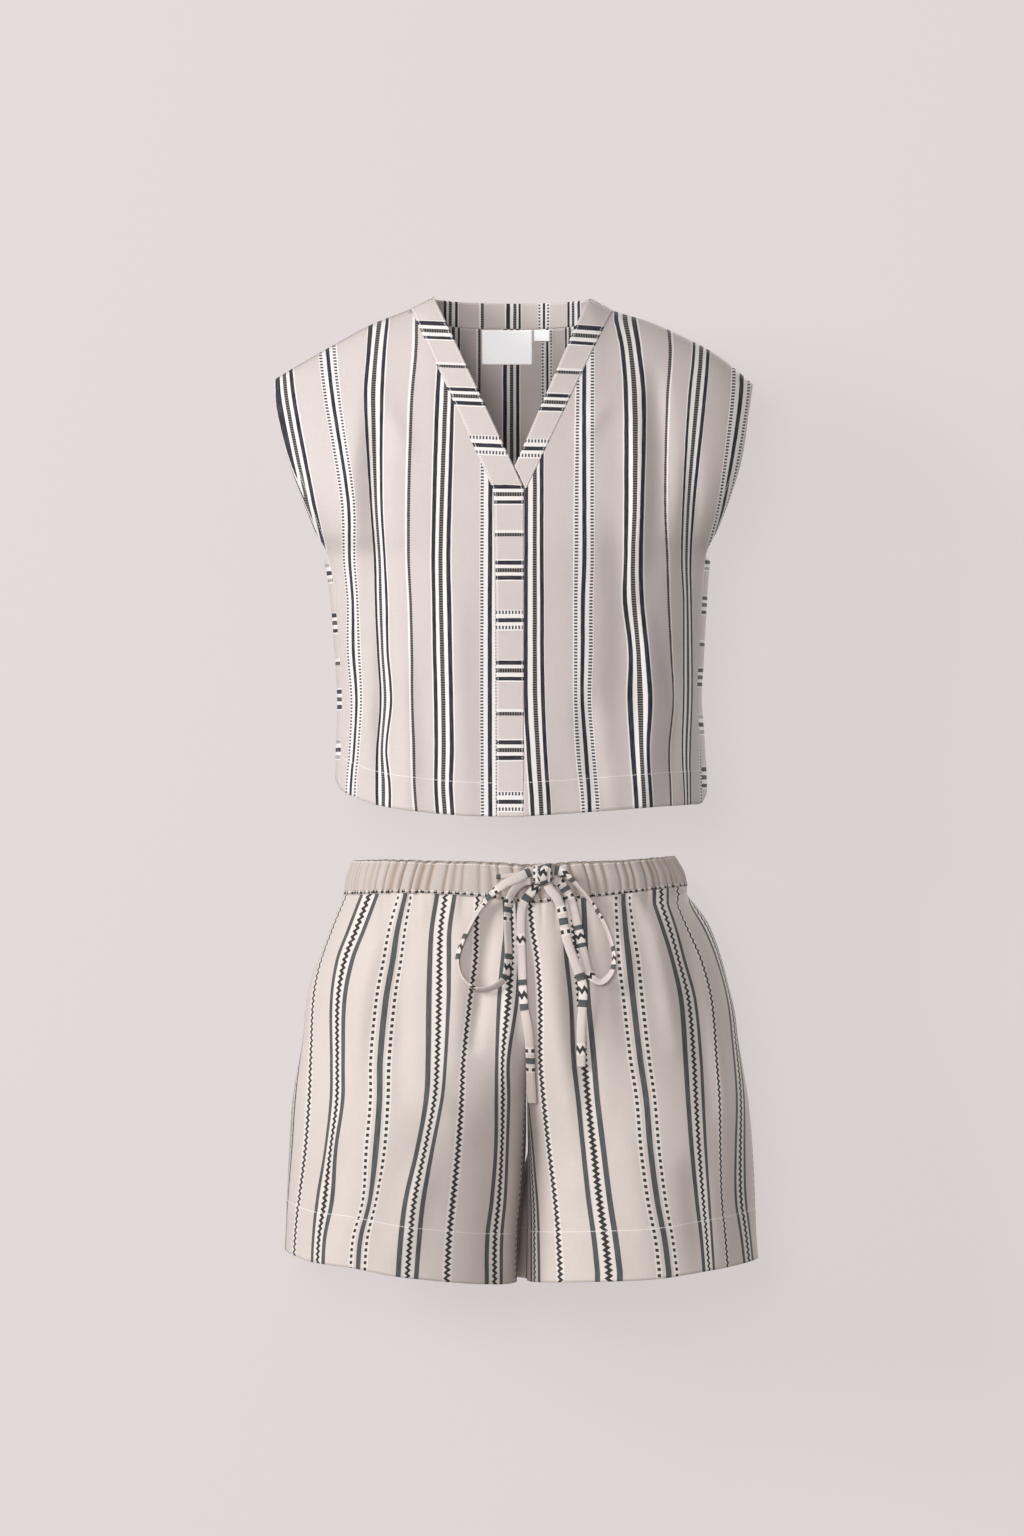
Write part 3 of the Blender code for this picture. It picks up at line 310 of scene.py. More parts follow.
LEG_RIGHT_LINES = (
    (None, -595, -630, -660, -700, -760, -800, -850, -900, -940, -985),
    (-47.0, -200, -214, -222, -230, -236, -240, -248, -254, -258, -260),
    (0.0, -168, -184, -194, -201.5, -204.5, -205.8, -209.3, -215.1, -219.3, -221.5),
    (36.5, -153.5, -166.7, -177.7, -183.5, -183.3, -183.8, -189.4, -197.7, -201.5, -203),
    (57.5, -137.3, -150.5, -162.3, -170.3, -171.7, -172.2, -179.5, -182.8, -190.3, -192),
    (95.0, -116.1, -126.3, -131.8, -139.1, -144.7, -144.9, -149.1, -152.1, -162.1, -165),
    (113.0, -103.9, -109.9, -113.9, -120.5, -126.1, -127.2, -130.6, -138.9, -148, -151),
    (150.5, -78.7, -83.8, -85.6, -86.5, -87, -88.9, -98.2, -109.8, -114.8, -118),
    (171.5, -60.4, -65.5, -65.9, -66, -69.2, -73.3, -83.3, -92.4, -96.6, -100),
    (208.0, -37.6, -39.5, -40.6, -46.4, -53, -54.9, -58.4, -63.4, -67.5, -70),
    (244.5, -11, -9.8, -12.7, -16, -18, -18.8, -19.5, -23.6, -28.6, -29),
    (265.5, 1, 3, 4, 2, -7, -6.8, -8.7, -10.3, -13.7, -14),
    (303.0, 16, 18, 19, 20, 15, 13, 11, 8, 5, 2),
)
LEG_LEFT_LINES = (
    (None, -604, -630, -660, -700, -760, -800, -850, -900, -940, -972),
    (-95.0, -60, -58, -55, -50, -40, -33, -26, -18, -14, -12),
    (-57.5, -28, -26, -23, -18, -8, 2, 11, 16, 16, 15.4),
    (-36.5, -10, -8, -5, 0, 7, 13, 18.9, 23.4, 24, 24.3),
    (0.0, 14, 16.5, 21.9, 24.8, 24.8, 27.9, 33.2, 39.5, 43, 44.8),
    (36.5, 47, 48.5, 50.5, 54.9, 57.8, 62.7, 68, 73.4, 79, 82.3),
    (57.5, 69, 70, 71, 73.2, 79.1, 82.3, 88.6, 94.8, 101, 105),
    (95.0, 100.5, 101.8, 103.3, 108.1, 115, 121.3, 125.5, 132.3, 140, 143.9),
    (113.0, 114.5, 118, 122.8, 126.8, 133.8, 139.5, 143.9, 150.2, 157.5, 161.8),
    (150.5, 138.5, 147.5, 156.8, 165.6, 170, 172.5, 176.4, 181.4, 186, 188.6),
    (171.5, 152.5, 161, 168.6, 179.6, 185.7, 187.7, 190.4, 193.9, 196.5, 198.4),
    (208.0, 160.5, 172, 185.4, 195.7, 200.8, 203.8, 204.6, 206, 209.5, 212),
    (244.5, 170, 188, 199.5, 211, 218.5, 220.4, 219.3, 219.8, 225, 228.8),
    (265.5, 175, 194, 206, 217.5, 226, 227, 227.5, 229.6, 235, 238.6),
    (303.0, 184, 204, 218, 229, 238, 242, 244, 248, 252, 256),
)

# The crosswise pieces: cloth across the stripes, at heights down the piece, in millimetres
BAND_RIGHT_CHART = {
    "height": (6, -5, -32, -67, -97, -146, -195, -220),
    "cloth": (190, 158, 127.5, 86.5, 50.5, 0, -50.5, -76),
}
BAND_LEFT_CHART = {
    "height": (6, -8, -37, -73, -103, -149, -198, -220),
    "cloth": (192, 158, 127.5, 86.5, 50.5, 0, -50.5, -74),
}
PLACKET_CHART = {
    "height": (-180, -195, -235, -270.6, -320.3, -371, -414, -450.5, -502, -530),
    "cloth": (-35, -50.5, -91.5, -127.5, -178, -228.5, -269.5, -305.5, -356, -384),
}
STRIP_RIGHT_CHART = {
    "height": (-230, -270, -324, -364, -400, -450, -500, -530),
    "cloth": (45, 4, -50.5, -91.5, -127.5, -178, -228.5, -258),
}
STRIP_LEFT_CHART = {
    "height": (-230, -263, -306, -345, -378, -425, -478, -530),
    "cloth": (34, 0, -50.5, -91.5, -127.5, -178, -228.5, -280),
}
BACK_NECK_CHART = {"across": (-90, -62, -36, -3, 33, 56, 85), "cloth": (-105, -77, -36, 0, 50.5, 101, 133)}
BACK_BAND_CHART = {"across": (-95, -65, -33, 0.6, 29.5, 59, 90), "cloth": (-120, -77, -36, 0, 50.5, 101, 143)}
BACK_TOP_MIDDLE = 0.0505

# How far out, in the half width, the top's lines follow their charted places
CHARTED_SHARE = 0.988

# Back of the shorts: the cloth at each leg's side seam, and where its waist gathers end
BACK_LEG_START = {-1: 0.0, 1: 0.208}
GATHERS_END = -0.700

# Folds: the line of each in the front view in metres, its depth (a ridge is positive) and
# its width. They are uneven on purpose, as in the photograph.
TOP_FRONT_FOLDS = (
    (((-0.150, -0.060), (-0.162, -0.180), (-0.156, -0.330)), 0.0042, 0.011),
    (((-0.130, -0.090), (-0.137, -0.200), (-0.128, -0.300)), -0.0036, 0.010),
    (((-0.128, -0.290), (-0.131, -0.400), (-0.126, -0.510)), -0.0050, 0.0085),
    (((-0.112, -0.330), (-0.108, -0.430), (-0.105, -0.515)), 0.0036, 0.012),
    (((-0.150, -0.380), (-0.150, -0.460), (-0.153, -0.500)), 0.0030, 0.010),
    (((-0.060, -0.260), (-0.056, -0.400), (-0.050, -0.510)), 0.0024, 0.016),
    (((0.138, -0.045), (0.142, -0.150), (0.138, -0.260)), -0.0046, 0.011),
    (((0.118, -0.080), (0.124, -0.200), (0.118, -0.300)), 0.0036, 0.010),
    (((0.178, -0.120), (0.172, -0.250), (0.176, -0.420)), -0.0040, 0.009),
    (((0.126, -0.290), (0.136, -0.400), (0.128, -0.505)), 0.0050, 0.010),
    (((0.150, -0.330), (0.158, -0.420), (0.152, -0.505)), -0.0040, 0.009),
    (((0.070, -0.380), (0.074, -0.440), (0.084, -0.512)), -0.0030, 0.011),
    (((0.092, -0.170), (0.104, -0.300), (0.100, -0.460)), -0.0022, 0.015),
    (((0.060, -0.150), (0.090, -0.110)), 0.0016, 0.010),
    (((-0.100, -0.170), (-0.135, -0.100)), 0.0018, 0.011),
)
TOP_BACK_FOLDS = (
    (((-0.120, -0.050), (-0.118, -0.200), (-0.126, -0.420)), 0.0040, 0.012),
    (((-0.060, -0.120), (-0.068, -0.300), (-0.060, -0.510)), -0.0034, 0.014),
    (((0.020, -0.150), (0.012, -0.330), (0.022, -0.512)), 0.0032, 0.016),
    (((0.095, -0.060), (0.104, -0.220), (0.098, -0.400)), -0.0042, 0.011),
    (((0.140, -0.180), (0.132, -0.340), (0.140, -0.500)), 0.0038, 0.012),
    (((-0.155, -0.220), (-0.150, -0.360), (-0.156, -0.490)), -0.0036, 0.010),
    (((0.060, -0.320), (0.064, -0.420), (0.058, -0.510)), -0.0028, 0.010),
)
SHORTS_FRONT_FOLDS = (
    (((-0.128, -0.598), (-0.150, -0.680), (-0.160, -0.780)), 0.0040, 0.012),
    (((-0.100, -0.598), (-0.112, -0.680), (-0.112, -0.790)), -0.0034, 0.012),
    (((-0.048, -0.598), (-0.058, -0.680), (-0.060, -0.760)), 0.0032, 0.012),
    (((-0.026, -0.605), (-0.032, -0.680), (-0.040, -0.740)), -0.0044, 0.008),
    (((0.012, -0.610), (0.012, -0.720), (0.011, -0.830)), -0.0046, 0.010),
    (((-0.008, -0.620), (-0.004, -0.700), (-0.008, -0.800)), 0.0030, 0.008),
    (((0.032, -0.605), (0.042, -0.720), (0.060, -0.880)), 0.0038, 0.014),
    (((0.052, -0.600), (0.062, -0.700), (0.076, -0.800)), -0.0034, 0.011),
    (((0.095, -0.598), (0.100, -0.660), (0.112, -0.740)), -0.0026, 0.011),
    (((0.130, -0.595), (0.142, -0.650), (0.160, -0.740)), 0.0034, 0.011),
    (((0.160, -0.595), (0.176, -0.680), (0.190, -0.800)), -0.0046, 0.011),
    (((0.190, -0.680), (0.208, -0.780), (0.212, -0.880)), 0.0030, 0.011),
    (((-0.010, -0.845), (-0.060, -0.820), (-0.105, -0.760)), 0.0020, 0.014),
    (((-0.018, -0.850), (-0.022, -0.900), (-0.026, -0.978)), -0.0030, 0.010),
    (((0.028, -0.850), (0.028, -0.900), (0.030, -0.976)), -0.0026, 0.010),
    (((-0.085, -0.840), (-0.105, -0.910), (-0.120, -0.968)), 0.0030, 0.016),
    (((-0.165, -0.820), (-0.180, -0.900), (-0.192, -0.960)), -0.0028, 0.012),
    (((0.036, -0.660), (0.048, -0.820), (0.066, -0.985)), 0.0034, 0.036),
    (((0.100, -0.800), (0.120, -0.880), (0.134, -0.970)), 0.0022, 0.018),
    (((0.172, -0.840), (0.180, -0.910), (0.186, -0.965)), -0.0032, 0.013),
)
SHORTS_BACK_FOLDS = (
    (((-0.130, -0.600), (-0.140, -0.700), (-0.150, -0.820)), 0.0036, 0.013),
    (((-0.085, -0.600), (-0.090, -0.690), (-0.100, -0.780)), -0.0034, 0.012),
    (((-0.040, -0.602), (-0.050, -0.700), (-0.060, -0.800)), 0.0030, 0.013),
    (((0.012, -0.610), (0.012, -0.720), (0.012, -0.840)), -0.0040, 0.010),
    (((0.050, -0.602), (0.060, -0.700), (0.072, -0.820)), 0.0032, 0.013),
    (((0.100, -0.600), (0.110, -0.680), (0.120, -0.770)), -0.0036, 0.011),
    (((0.145, -0.598), (0.160, -0.700), (0.170, -0.830)), 0.0034, 0.012),
    (((-0.010, -0.850), (-0.060, -0.810), (-0.100, -0.740)), 0.0024, 0.014),
    (((0.032, -0.850), (0.080, -0.810), (0.120, -0.745)), 0.0022, 0.014),
    (((-0.120, -0.850), (-0.130, -0.910), (-0.140, -0.966)), -0.0028, 0.013),
    (((0.130, -0.850), (0.140, -0.910), (0.146, -0.968)), -0.0030, 0.013),
)


# Settings that a user would change


class CLOTHES_PG_cloth(PropertyGroup):
    panel_wall: FloatProperty(
        name="Panel wall", description="Thickness of the cloth of a panel", default=0.0016, min=0.001,
        max=0.003, unit="LENGTH",
    )
    band_wall: FloatProperty(
        name="Band wall", description="Thickness of the doubled cloth of a band", default=0.0022, min=0.001,
        max=0.003, unit="LENGTH",
    )
    waistband_wall: FloatProperty(
        name="Waistband wall", description="Thickness of the waistband's cloth", default=0.0026, min=0.001,
        max=0.003, unit="LENGTH",
    )
    label_wall: FloatProperty(
        name="Label wall", description="Thickness of a label", default=0.0008, min=0.0004, max=0.002,
        unit="LENGTH",
    )
    seam_gap: FloatProperty(
        name="Seam gap", description="Gap between two pieces at a seam", default=0.0002, min=0.0, max=0.001,
        unit="LENGTH",
    )
    fold_depth: FloatProperty(
        name="Fold depth", description="How deep the soft folds are, as a share of their own depth",
        default=1.5, min=0.0, max=2.0, subtype="FACTOR",
    )
    gather_depth: FloatProperty(
        name="Gather depth", description="Depth of the waistband's gathers", default=0.0023, min=0.0,
        max=0.004, unit="LENGTH",
    )


class CLOTHES_PG_colours(PropertyGroup):
    top_ground: FloatVectorProperty(
        name="Top", description="Ground of the top's cloth", default=(0.590, 0.530, 0.514), subtype="COLOR",
        min=0.0, max=1.0,
    )
    top_bright: FloatVectorProperty(
        name="Top, bright yarn", description="Bright yarn between the top's lines",
        default=(0.90, 0.875, 0.860), subtype="COLOR", min=0.0, max=1.0,
    )
    navy: FloatVectorProperty(
        name="Navy yarn", description="Outer lines of the top's groups", default=(0.015, 0.016, 0.028),
        subtype="COLOR", min=0.0, max=1.0,
    )
    brown: FloatVectorProperty(
        name="Dark brown yarn", description="Middle lines of the top's groups", default=(0.010, 0.008, 0.008),
        subtype="COLOR", min=0.0, max=1.0,
    )
    shorts_ground: FloatVectorProperty(
        name="Shorts", description="Ground of the shorts' cloth", default=(0.600, 0.535, 0.502),
        subtype="COLOR", min=0.0, max=1.0,
    )
    shorts_bright: FloatVectorProperty(
        name="Shorts, bright yarn", description="Bright yarn beside the shorts' zigzags",
        default=(0.90, 0.86, 0.82), subtype="COLOR", min=0.0, max=1.0,
    )
    grey: FloatVectorProperty(
        name="Grey bar", description="The shorts' grey bars", default=(0.058, 0.066, 0.071), subtype="COLOR",
        min=0.0, max=1.0,
    )
    black: FloatVectorProperty(
        name="Black yarn", description="The shorts' zigzags and dots", default=(0.010, 0.010, 0.012),
        subtype="COLOR", min=0.0, max=1.0,
    )
    # Painted shade: a dark brown that stands for the shadow in the troughs of the waistband's gathers
    painted_trough_shade: FloatVectorProperty(
        name="Gathers", description="Shaded cloth in the troughs of the waistband's gathers",
        default=(0.36, 0.27, 0.20), subtype="COLOR", min=0.0, max=1.0,
    )
    # Also the colour of the label's painted glow
    label: FloatVectorProperty(
        name="Label", description="Satin of the blank labels", default=(0.96, 0.965, 0.97), subtype="COLOR",
        min=0.0, max=1.0,
    )


class CLOTHES_PG_stage(PropertyGroup):
    backdrop: FloatVectorProperty(
        name="Backdrop", description="Colour of the floor and the backdrop", default=(0.745, 0.680, 0.687),
        subtype="COLOR", min=0.0, max=1.0,
    )
    glow: FloatProperty(
        name="Backdrop glow", description="How strongly the backdrop is lit from within", default=0.81,
        min=0.0, max=2.0, subtype="FACTOR",
    )
    key_power: FloatProperty(
        name="Key light", description="Power of the soft light from the left", default=228.0, min=0.0,
        unit="POWER",
    )
    fill_power: FloatProperty(
        name="Front light", description="Power of the light from the front", default=175.0, min=0.0,
        unit="POWER",
    )
    back_power: FloatProperty(
        name="Back light", description="Power of the light on the back", default=150.0, min=0.0, unit="POWER"
    )
    sky: FloatProperty(
        name="Sky", description="Strength of the even light from all round", default=0.35, min=0.0, max=2.0,
        subtype="FACTOR",
    )


# Curves and tables


def curve(places, values, place):
    """A smooth curve through values at rising or falling places, level beyond its ends."""
    places = np.asarray(places, float)
    values = np.asarray(values, float)
    if places[0] > places[-1]:
        places = places[::-1]
        values = values[::-1]
    place = np.clip(place, places[0], places[-1])
    cell = np.clip(np.searchsorted(places, place, side="right") - 1, 0, len(places) - 2)
    slopes = np.empty_like(values)
    slopes[1:-1] = (values[2:] - values[:-2]) / (places[2:] - places[:-2])
    slopes[0] = (values[1] - values[0]) / (places[1] - places[0])
    slopes[-1] = (values[-1] - values[-2]) / (places[-1] - places[-2])
    width = places[cell + 1] - places[cell]
    t = (place - places[cell]) / width
    rise = t * t * (3.0 - 2.0 * t)
    leave = t * (1.0 - t) ** 2 * width * slopes[cell]
    arrive = t * t * (t - 1.0) * width * slopes[cell + 1]
    return values[cell] + (values[cell + 1] - values[cell]) * rise + leave + arrive


def read(table, column, place):
    """One column of a table at places between its rows."""
    return curve(next(iter(table.values())), table[column], place)


def mix(a, b, share):
    return a + (b - a) * share


def smooth_step(start, end, value):
    """0 before start, 1 after end, and a soft change between them."""
    t = np.clip((value - start) / (end - start), 0.0, 1.0)
    return t * t * (3.0 - 2.0 * t)


def dome(share, power):
    """Height of a rounded section at a share of its half width: 1 in the middle, 0 at the edge."""
    share = np.clip(np.abs(share), 0.0, 1.0)
    return (1.0 - share ** power) ** (1.0 / power)


def seen_from_front(x, reach, z):
    """Where a point of the front shows in the plane of the photograph's scale."""
    grow = CAMERA_DISTANCE / (CAMERA_DISTANCE - reach)
    return (
        PHOTO_CENTRE[0] + (x - PHOTO_CENTRE[0]) * grow,
        PHOTO_CENTRE[1] + (z - PHOTO_CENTRE[1]) * grow,
    )


def cloth_across(lines, x, z):
    """Metres of cloth across the stripes at places of the front, from a table of where lines run."""
    heights = lines[0][1:]
    x = x * 1000.0
    z = z * 1000.0
    cloths = [row[0] for row in lines[1:]]
    runs = [curve(heights, row[1:], z) for row in lines[1:]]
    first = (x - runs[0]) / (runs[1] - runs[0])
    cloth = cloths[0] + np.minimum(first, 0.0) * (cloths[1] - cloths[0])
    for k in range(len(runs) - 1):
        share = (x - runs[k]) / (runs[k + 1] - runs[k])
        top = np.inf if k == len(runs) - 2 else 1.0
        cloth = cloth + np.clip(share, 0.0, top) * (cloths[k + 1] - cloths[k])
    return cloth * 0.001


def level_run(x, reach):
    """Level steps of cloth along each row of a grid, and how much each faces the front."""
    steps = np.hypot(np.diff(x, axis=1), np.diff(reach, axis=1))
    return steps, np.abs(np.diff(x, axis=1)) / np.maximum(steps, 1.0e-9)


def charted_run(chart, x, reach, sign):
    """The charted cloth where a row faces the front, and its true width where it turns away."""
    steps, facing = level_run(x, reach)
    steps = mix(sign * steps, np.diff(chart, axis=1), smooth_step(0.42, 0.68, facing))
    total = np.concatenate((np.zeros((len(x), 1)), np.cumsum(steps, axis=1)), axis=1)
    middle = x.shape[1] // 2
    return total + chart[:, middle:middle + 1] - total[:, middle:middle + 1]


def fold_lift(folds, x, z):
    """How far the soft folds lift the cloth at places of the front or back view."""
    lift = np.zeros_like(x)
    for line, depth, width in folds:
        points = np.array(line)
        steps = np.linalg.norm(np.diff(points, axis=0), axis=1)
        total = steps.sum()
        best = np.full_like(x, 1.0e9)
        along = np.zeros_like(x)
        passed = 0.0
        for start, end, step in zip(points, points[1:], steps):
            t = ((x - start[0]) * (end[0] - start[0]) + (z - start[1]) * (end[1] - start[1])) / step ** 2
            t = np.clip(t, 0.0, 1.0)
            away = np.hypot(x - mix(start[0], end[0], t), z - mix(start[1], end[1], t))
            nearer = away < best
            best = np.where(nearer, away, best)
            along = np.where(nearer, (passed + t * step) / total, along)
            passed += step
        taper = smooth_step(0.0, 0.35, along) * (1.0 - 0.55 * smooth_step(0.7, 1.0, along))
        lift += depth * taper * np.exp(-((best / width) ** 2))
    return lift * bpy.context.scene.clothes_cloth.fold_depth


# The top's form


def shoulder_height(x):
    return read(SHOULDER_FORM, "height", x)


def half_width(x, z):
    return np.where(np.asarray(x) > 0.0, read(TOP_FORM, "left", z), read(TOP_FORM, "right", z))


def top_reach(x, z, back):
    """How far the top's cloth stands from the middle plane, without its folds."""
    body = read(TOP_FORM, "back" if back else "front", z)
    armhole = read(TOP_FORM, "armhole", z)
    section = armhole + (body - armhole) * dome(x / half_width(x, z), SECTION_POWER)
    roll_length = SHOULDER_ROLL_BACK if back else SHOULDER_ROLL_FRONT
    drop = np.clip((shoulder_height(x) - z) / roll_length, 0.0, 1.0)
    return section * (1.0 - (1.0 - drop) ** 2) ** SHOULDER_ROLL_POWER


def level_arc(x, z, back):
    """Length of cloth from the top's middle out to x, level at the height z."""
    places = np.linspace(0.0, 1.0, 33) * x[..., None]
    reach = top_reach(places, z[..., None] + 0.0 * places, back)
    return np.sign(x) * np.hypot(np.diff(places), np.diff(reach)).sum(axis=-1)


def top_folds(x, z, back):
    """The top's folds, faded out towards its shoulders and its sides."""
    lift = fold_lift(TOP_BACK_FOLDS if back else TOP_FRONT_FOLDS, x, z)
    share = np.abs(x) / half_width(x, z)
    fade = smooth_step(0.010, 0.060, shoulder_height(x) - z) * (1.0 - smooth_step(0.86, 0.965, share))
    hem_wave = np.sin(52.0 * x + 1.3) + 0.6 * np.sin(97.0 * x + (2.0 if back else 0.4))
    wave = HEM_WAVE_DEPTH * hem_wave * smooth_step(-0.400, -0.510, z)
    return lift * fade + wave * (1.0 - smooth_step(0.8, 0.96, share))


def top_points(x, z, back):
    reach = top_reach(x, z, back) + top_folds(x, z, back)
    return np.stack((x, reach if back else -reach, z), axis=-1)


def top_hem(side, share):
    return read(TOP_HEM_FORM, "left" if side > 0 else "right", share)


def side_edge(side, side_cells, armhole_cells):
    """Places up the side seam and round the armhole to the shoulder tip."""
    seam_foot = float(top_hem(side, SIDE_SEAM_SHARE))
    tip_across = SHOULDER_FORM["across"][-1 if side > 0 else 0]
    tip_height = SHOULDER_FORM["height"][-1 if side > 0 else 0]
    z = np.concatenate((
        np.linspace(seam_foot, UNDERARM, side_cells, endpoint=False),
        np.linspace(UNDERARM, tip_height, armhole_cells + 1),
    ))
    share = mix(SIDE_SEAM_SHARE, 1.0, smooth_step(UNDERARM, UNDERARM + ARMHOLE_RISE, z))
    x = side * share * half_width(side, z)
    x[-1] = tip_across
    return np.stack((x, z), axis=-1)


def shoulder_line(side, cells):
    """Places from the neck corner out to the shoulder tip, closer together towards the tip."""
    corner = NECK_CORNER_LEFT if side > 0 else NECK_CORNER_RIGHT
    tip = SHOULDER_FORM["across"][-1 if side > 0 else 0]
    shares = np.sin(0.5 * math.pi * np.arange(cells + 1) / cells)
    x = mix(corner[0], tip, shares)
    return np.stack((x, shoulder_height(x)), axis=-1)


def straight(start, end, cells):
    shares = np.linspace(0.0, 1.0, cells + 1)[:, None]
    return mix(np.array(start), np.array(end), shares)


def fill_patch(foot, head, start, end):
    """Places inside a patch with four known edges: rows from foot to head, start to end across."""
    spans = (head[:, 0] - head[0, 0]) / (head[-1, 0] - head[0, 0])
    u = spans[None, :, None]
    v = np.linspace(0.0, 1.0, len(start))[:, None, None]
    edges = mix(foot[None], head[None], v) + mix(start[:, None], end[:, None], u)
    low = mix(foot[0], foot[-1], u)
    high = mix(head[0], head[-1], u)
    return edges - mix(low, high, v)


def top_hem_line(start, end, head):
    spans = (head[:, 0] - head[0, 0]) / (head[-1, 0] - head[0, 0])
    x = mix(start, end, spans)
    foot_height = TOP_FORM["height"][-1]
    share = np.abs(x) / half_width(x, np.full_like(x, foot_height))
    z = np.where(x > 0.0, top_hem(1, share), top_hem(-1, share))
    return np.stack((x, z), axis=-1)


def band_corners(side):
    """The neckband run's four ends: outer and inner at its foot, then at its top."""
    if side > 0:
        return V_END_LEFT, BAND_END_LEFT, NECK_CORNER_LEFT, BAND_TOP_LEFT
    return V_END_RIGHT, BAND_END_RIGHT, NECK_CORNER_RIGHT, BAND_TOP_RIGHT


# The shorts' form


def leg_edges(side, z):
    """Outer and inner edge of one leg at heights."""
    name = "left" if side > 0 else "right"
    return read(SHORTS_FORM, name, z), read(SHORTS_FORM, name + "_inner", z)


def shorts_reach(side, share, z, back):
    """How far a leg's cloth stands from the middle plane, without its folds."""
    depth = read(SHORTS_FORM, "back" if back else "front", z)
    hip = dome(1.0 - share, HIP_POWER)
    leg = dome(2.0 * share - 1.0, HIP_POWER)
    reach = depth * mix(hip, leg, smooth_step(-CROTCH_START, -CROTCH_END, -z))
    outer, inner = leg_edges(side, z)
    seam = read(LEVELS, "band_bottom", mix(outer, inner, share))
    fade = 1.0 - smooth_step(0.0, GATHER_FADE, seam - z)
    wave = np.sin(2.0 * math.pi * PANEL_GATHERS * share) * np.sin(math.pi * share)
    return reach + PANEL_GATHER_DEPTH * fade * wave


def front_cloth(x, z):
    """How far the front of the shorts, or of its waistband, stands forward at a place."""
    seam = read(LEVELS, "band_bottom", x)
    rise = (z - seam) / (read(LEVELS, "band_top", x) - seam)
    right = read(WAISTBAND_FORM, "right", rise)
    left = read(WAISTBAND_FORM, "left", rise)
    offset = np.abs(x - 0.5 * (right + left)) / (0.5 * (left - right))
    band = read(WAISTBAND_FORM, "depth", rise) * dome(offset, HIP_POWER) + WAIST_SWELL + GATHER_DEPTH
    panels = []
    for side in (-1, 1):
        outer, inner = leg_edges(side, z)
        panels.append(shorts_reach(side, (x - outer) / (inner - outer), z, False))
    panel = np.where(np.asarray(x) > CENTRE_ACROSS, panels[1], panels[0])
    return mix(panel, band, smooth_step(seam - SEAM_STEP, seam, z))


# Meshes

# A distance from the nearest row of stitches that is too far for one to show
NO_STITCH = 0.05


def new_object(name, mesh):
    """A new piece of the set, linked to the scene."""
    piece = bpy.data.objects.new(name, mesh)
    bpy.context.scene.collection.objects.link(piece)
    return piece


def write_uv(mesh, name, values):
    """A UV map from one pair of numbers for each vertex."""
    layer = mesh.uv_layers.new(name=name)
    corners = np.empty(len(mesh.loops), np.int32)
    mesh.loops.foreach_get("vertex_index", corners)
    layer.data.foreach_set("uv", np.asarray(values, np.float32)[corners].ravel())


def grid_normals(points, flip):
    """Outward normals of a grid of points."""
    across = np.gradient(points, axis=1)
    up = np.gradient(points, axis=0)
    normals = np.cross(across, up) * flip
    length = np.linalg.norm(normals, axis=-1, keepdims=True)
    return normals / np.maximum(length, 1.0e-12)


def pulled_in(points, gap):
    """The grid with its four edges drawn in by half the gap that seams keep."""
    moved = points.copy()
    for edge, inside, axis in ((0, 1, 0), (-1, -2, 0), (0, 1, 1), (-1, -2, 1)):
        rows = points if axis == 0 else points.transpose(1, 0, 2)
        target = moved if axis == 0 else moved.transpose(1, 0, 2)
        step = rows[inside] - rows[edge]
        step /= np.maximum(np.linalg.norm(step, axis=-1, keepdims=True), 1.0e-9)
        target[edge] += step * 0.5 * gap
    return moved


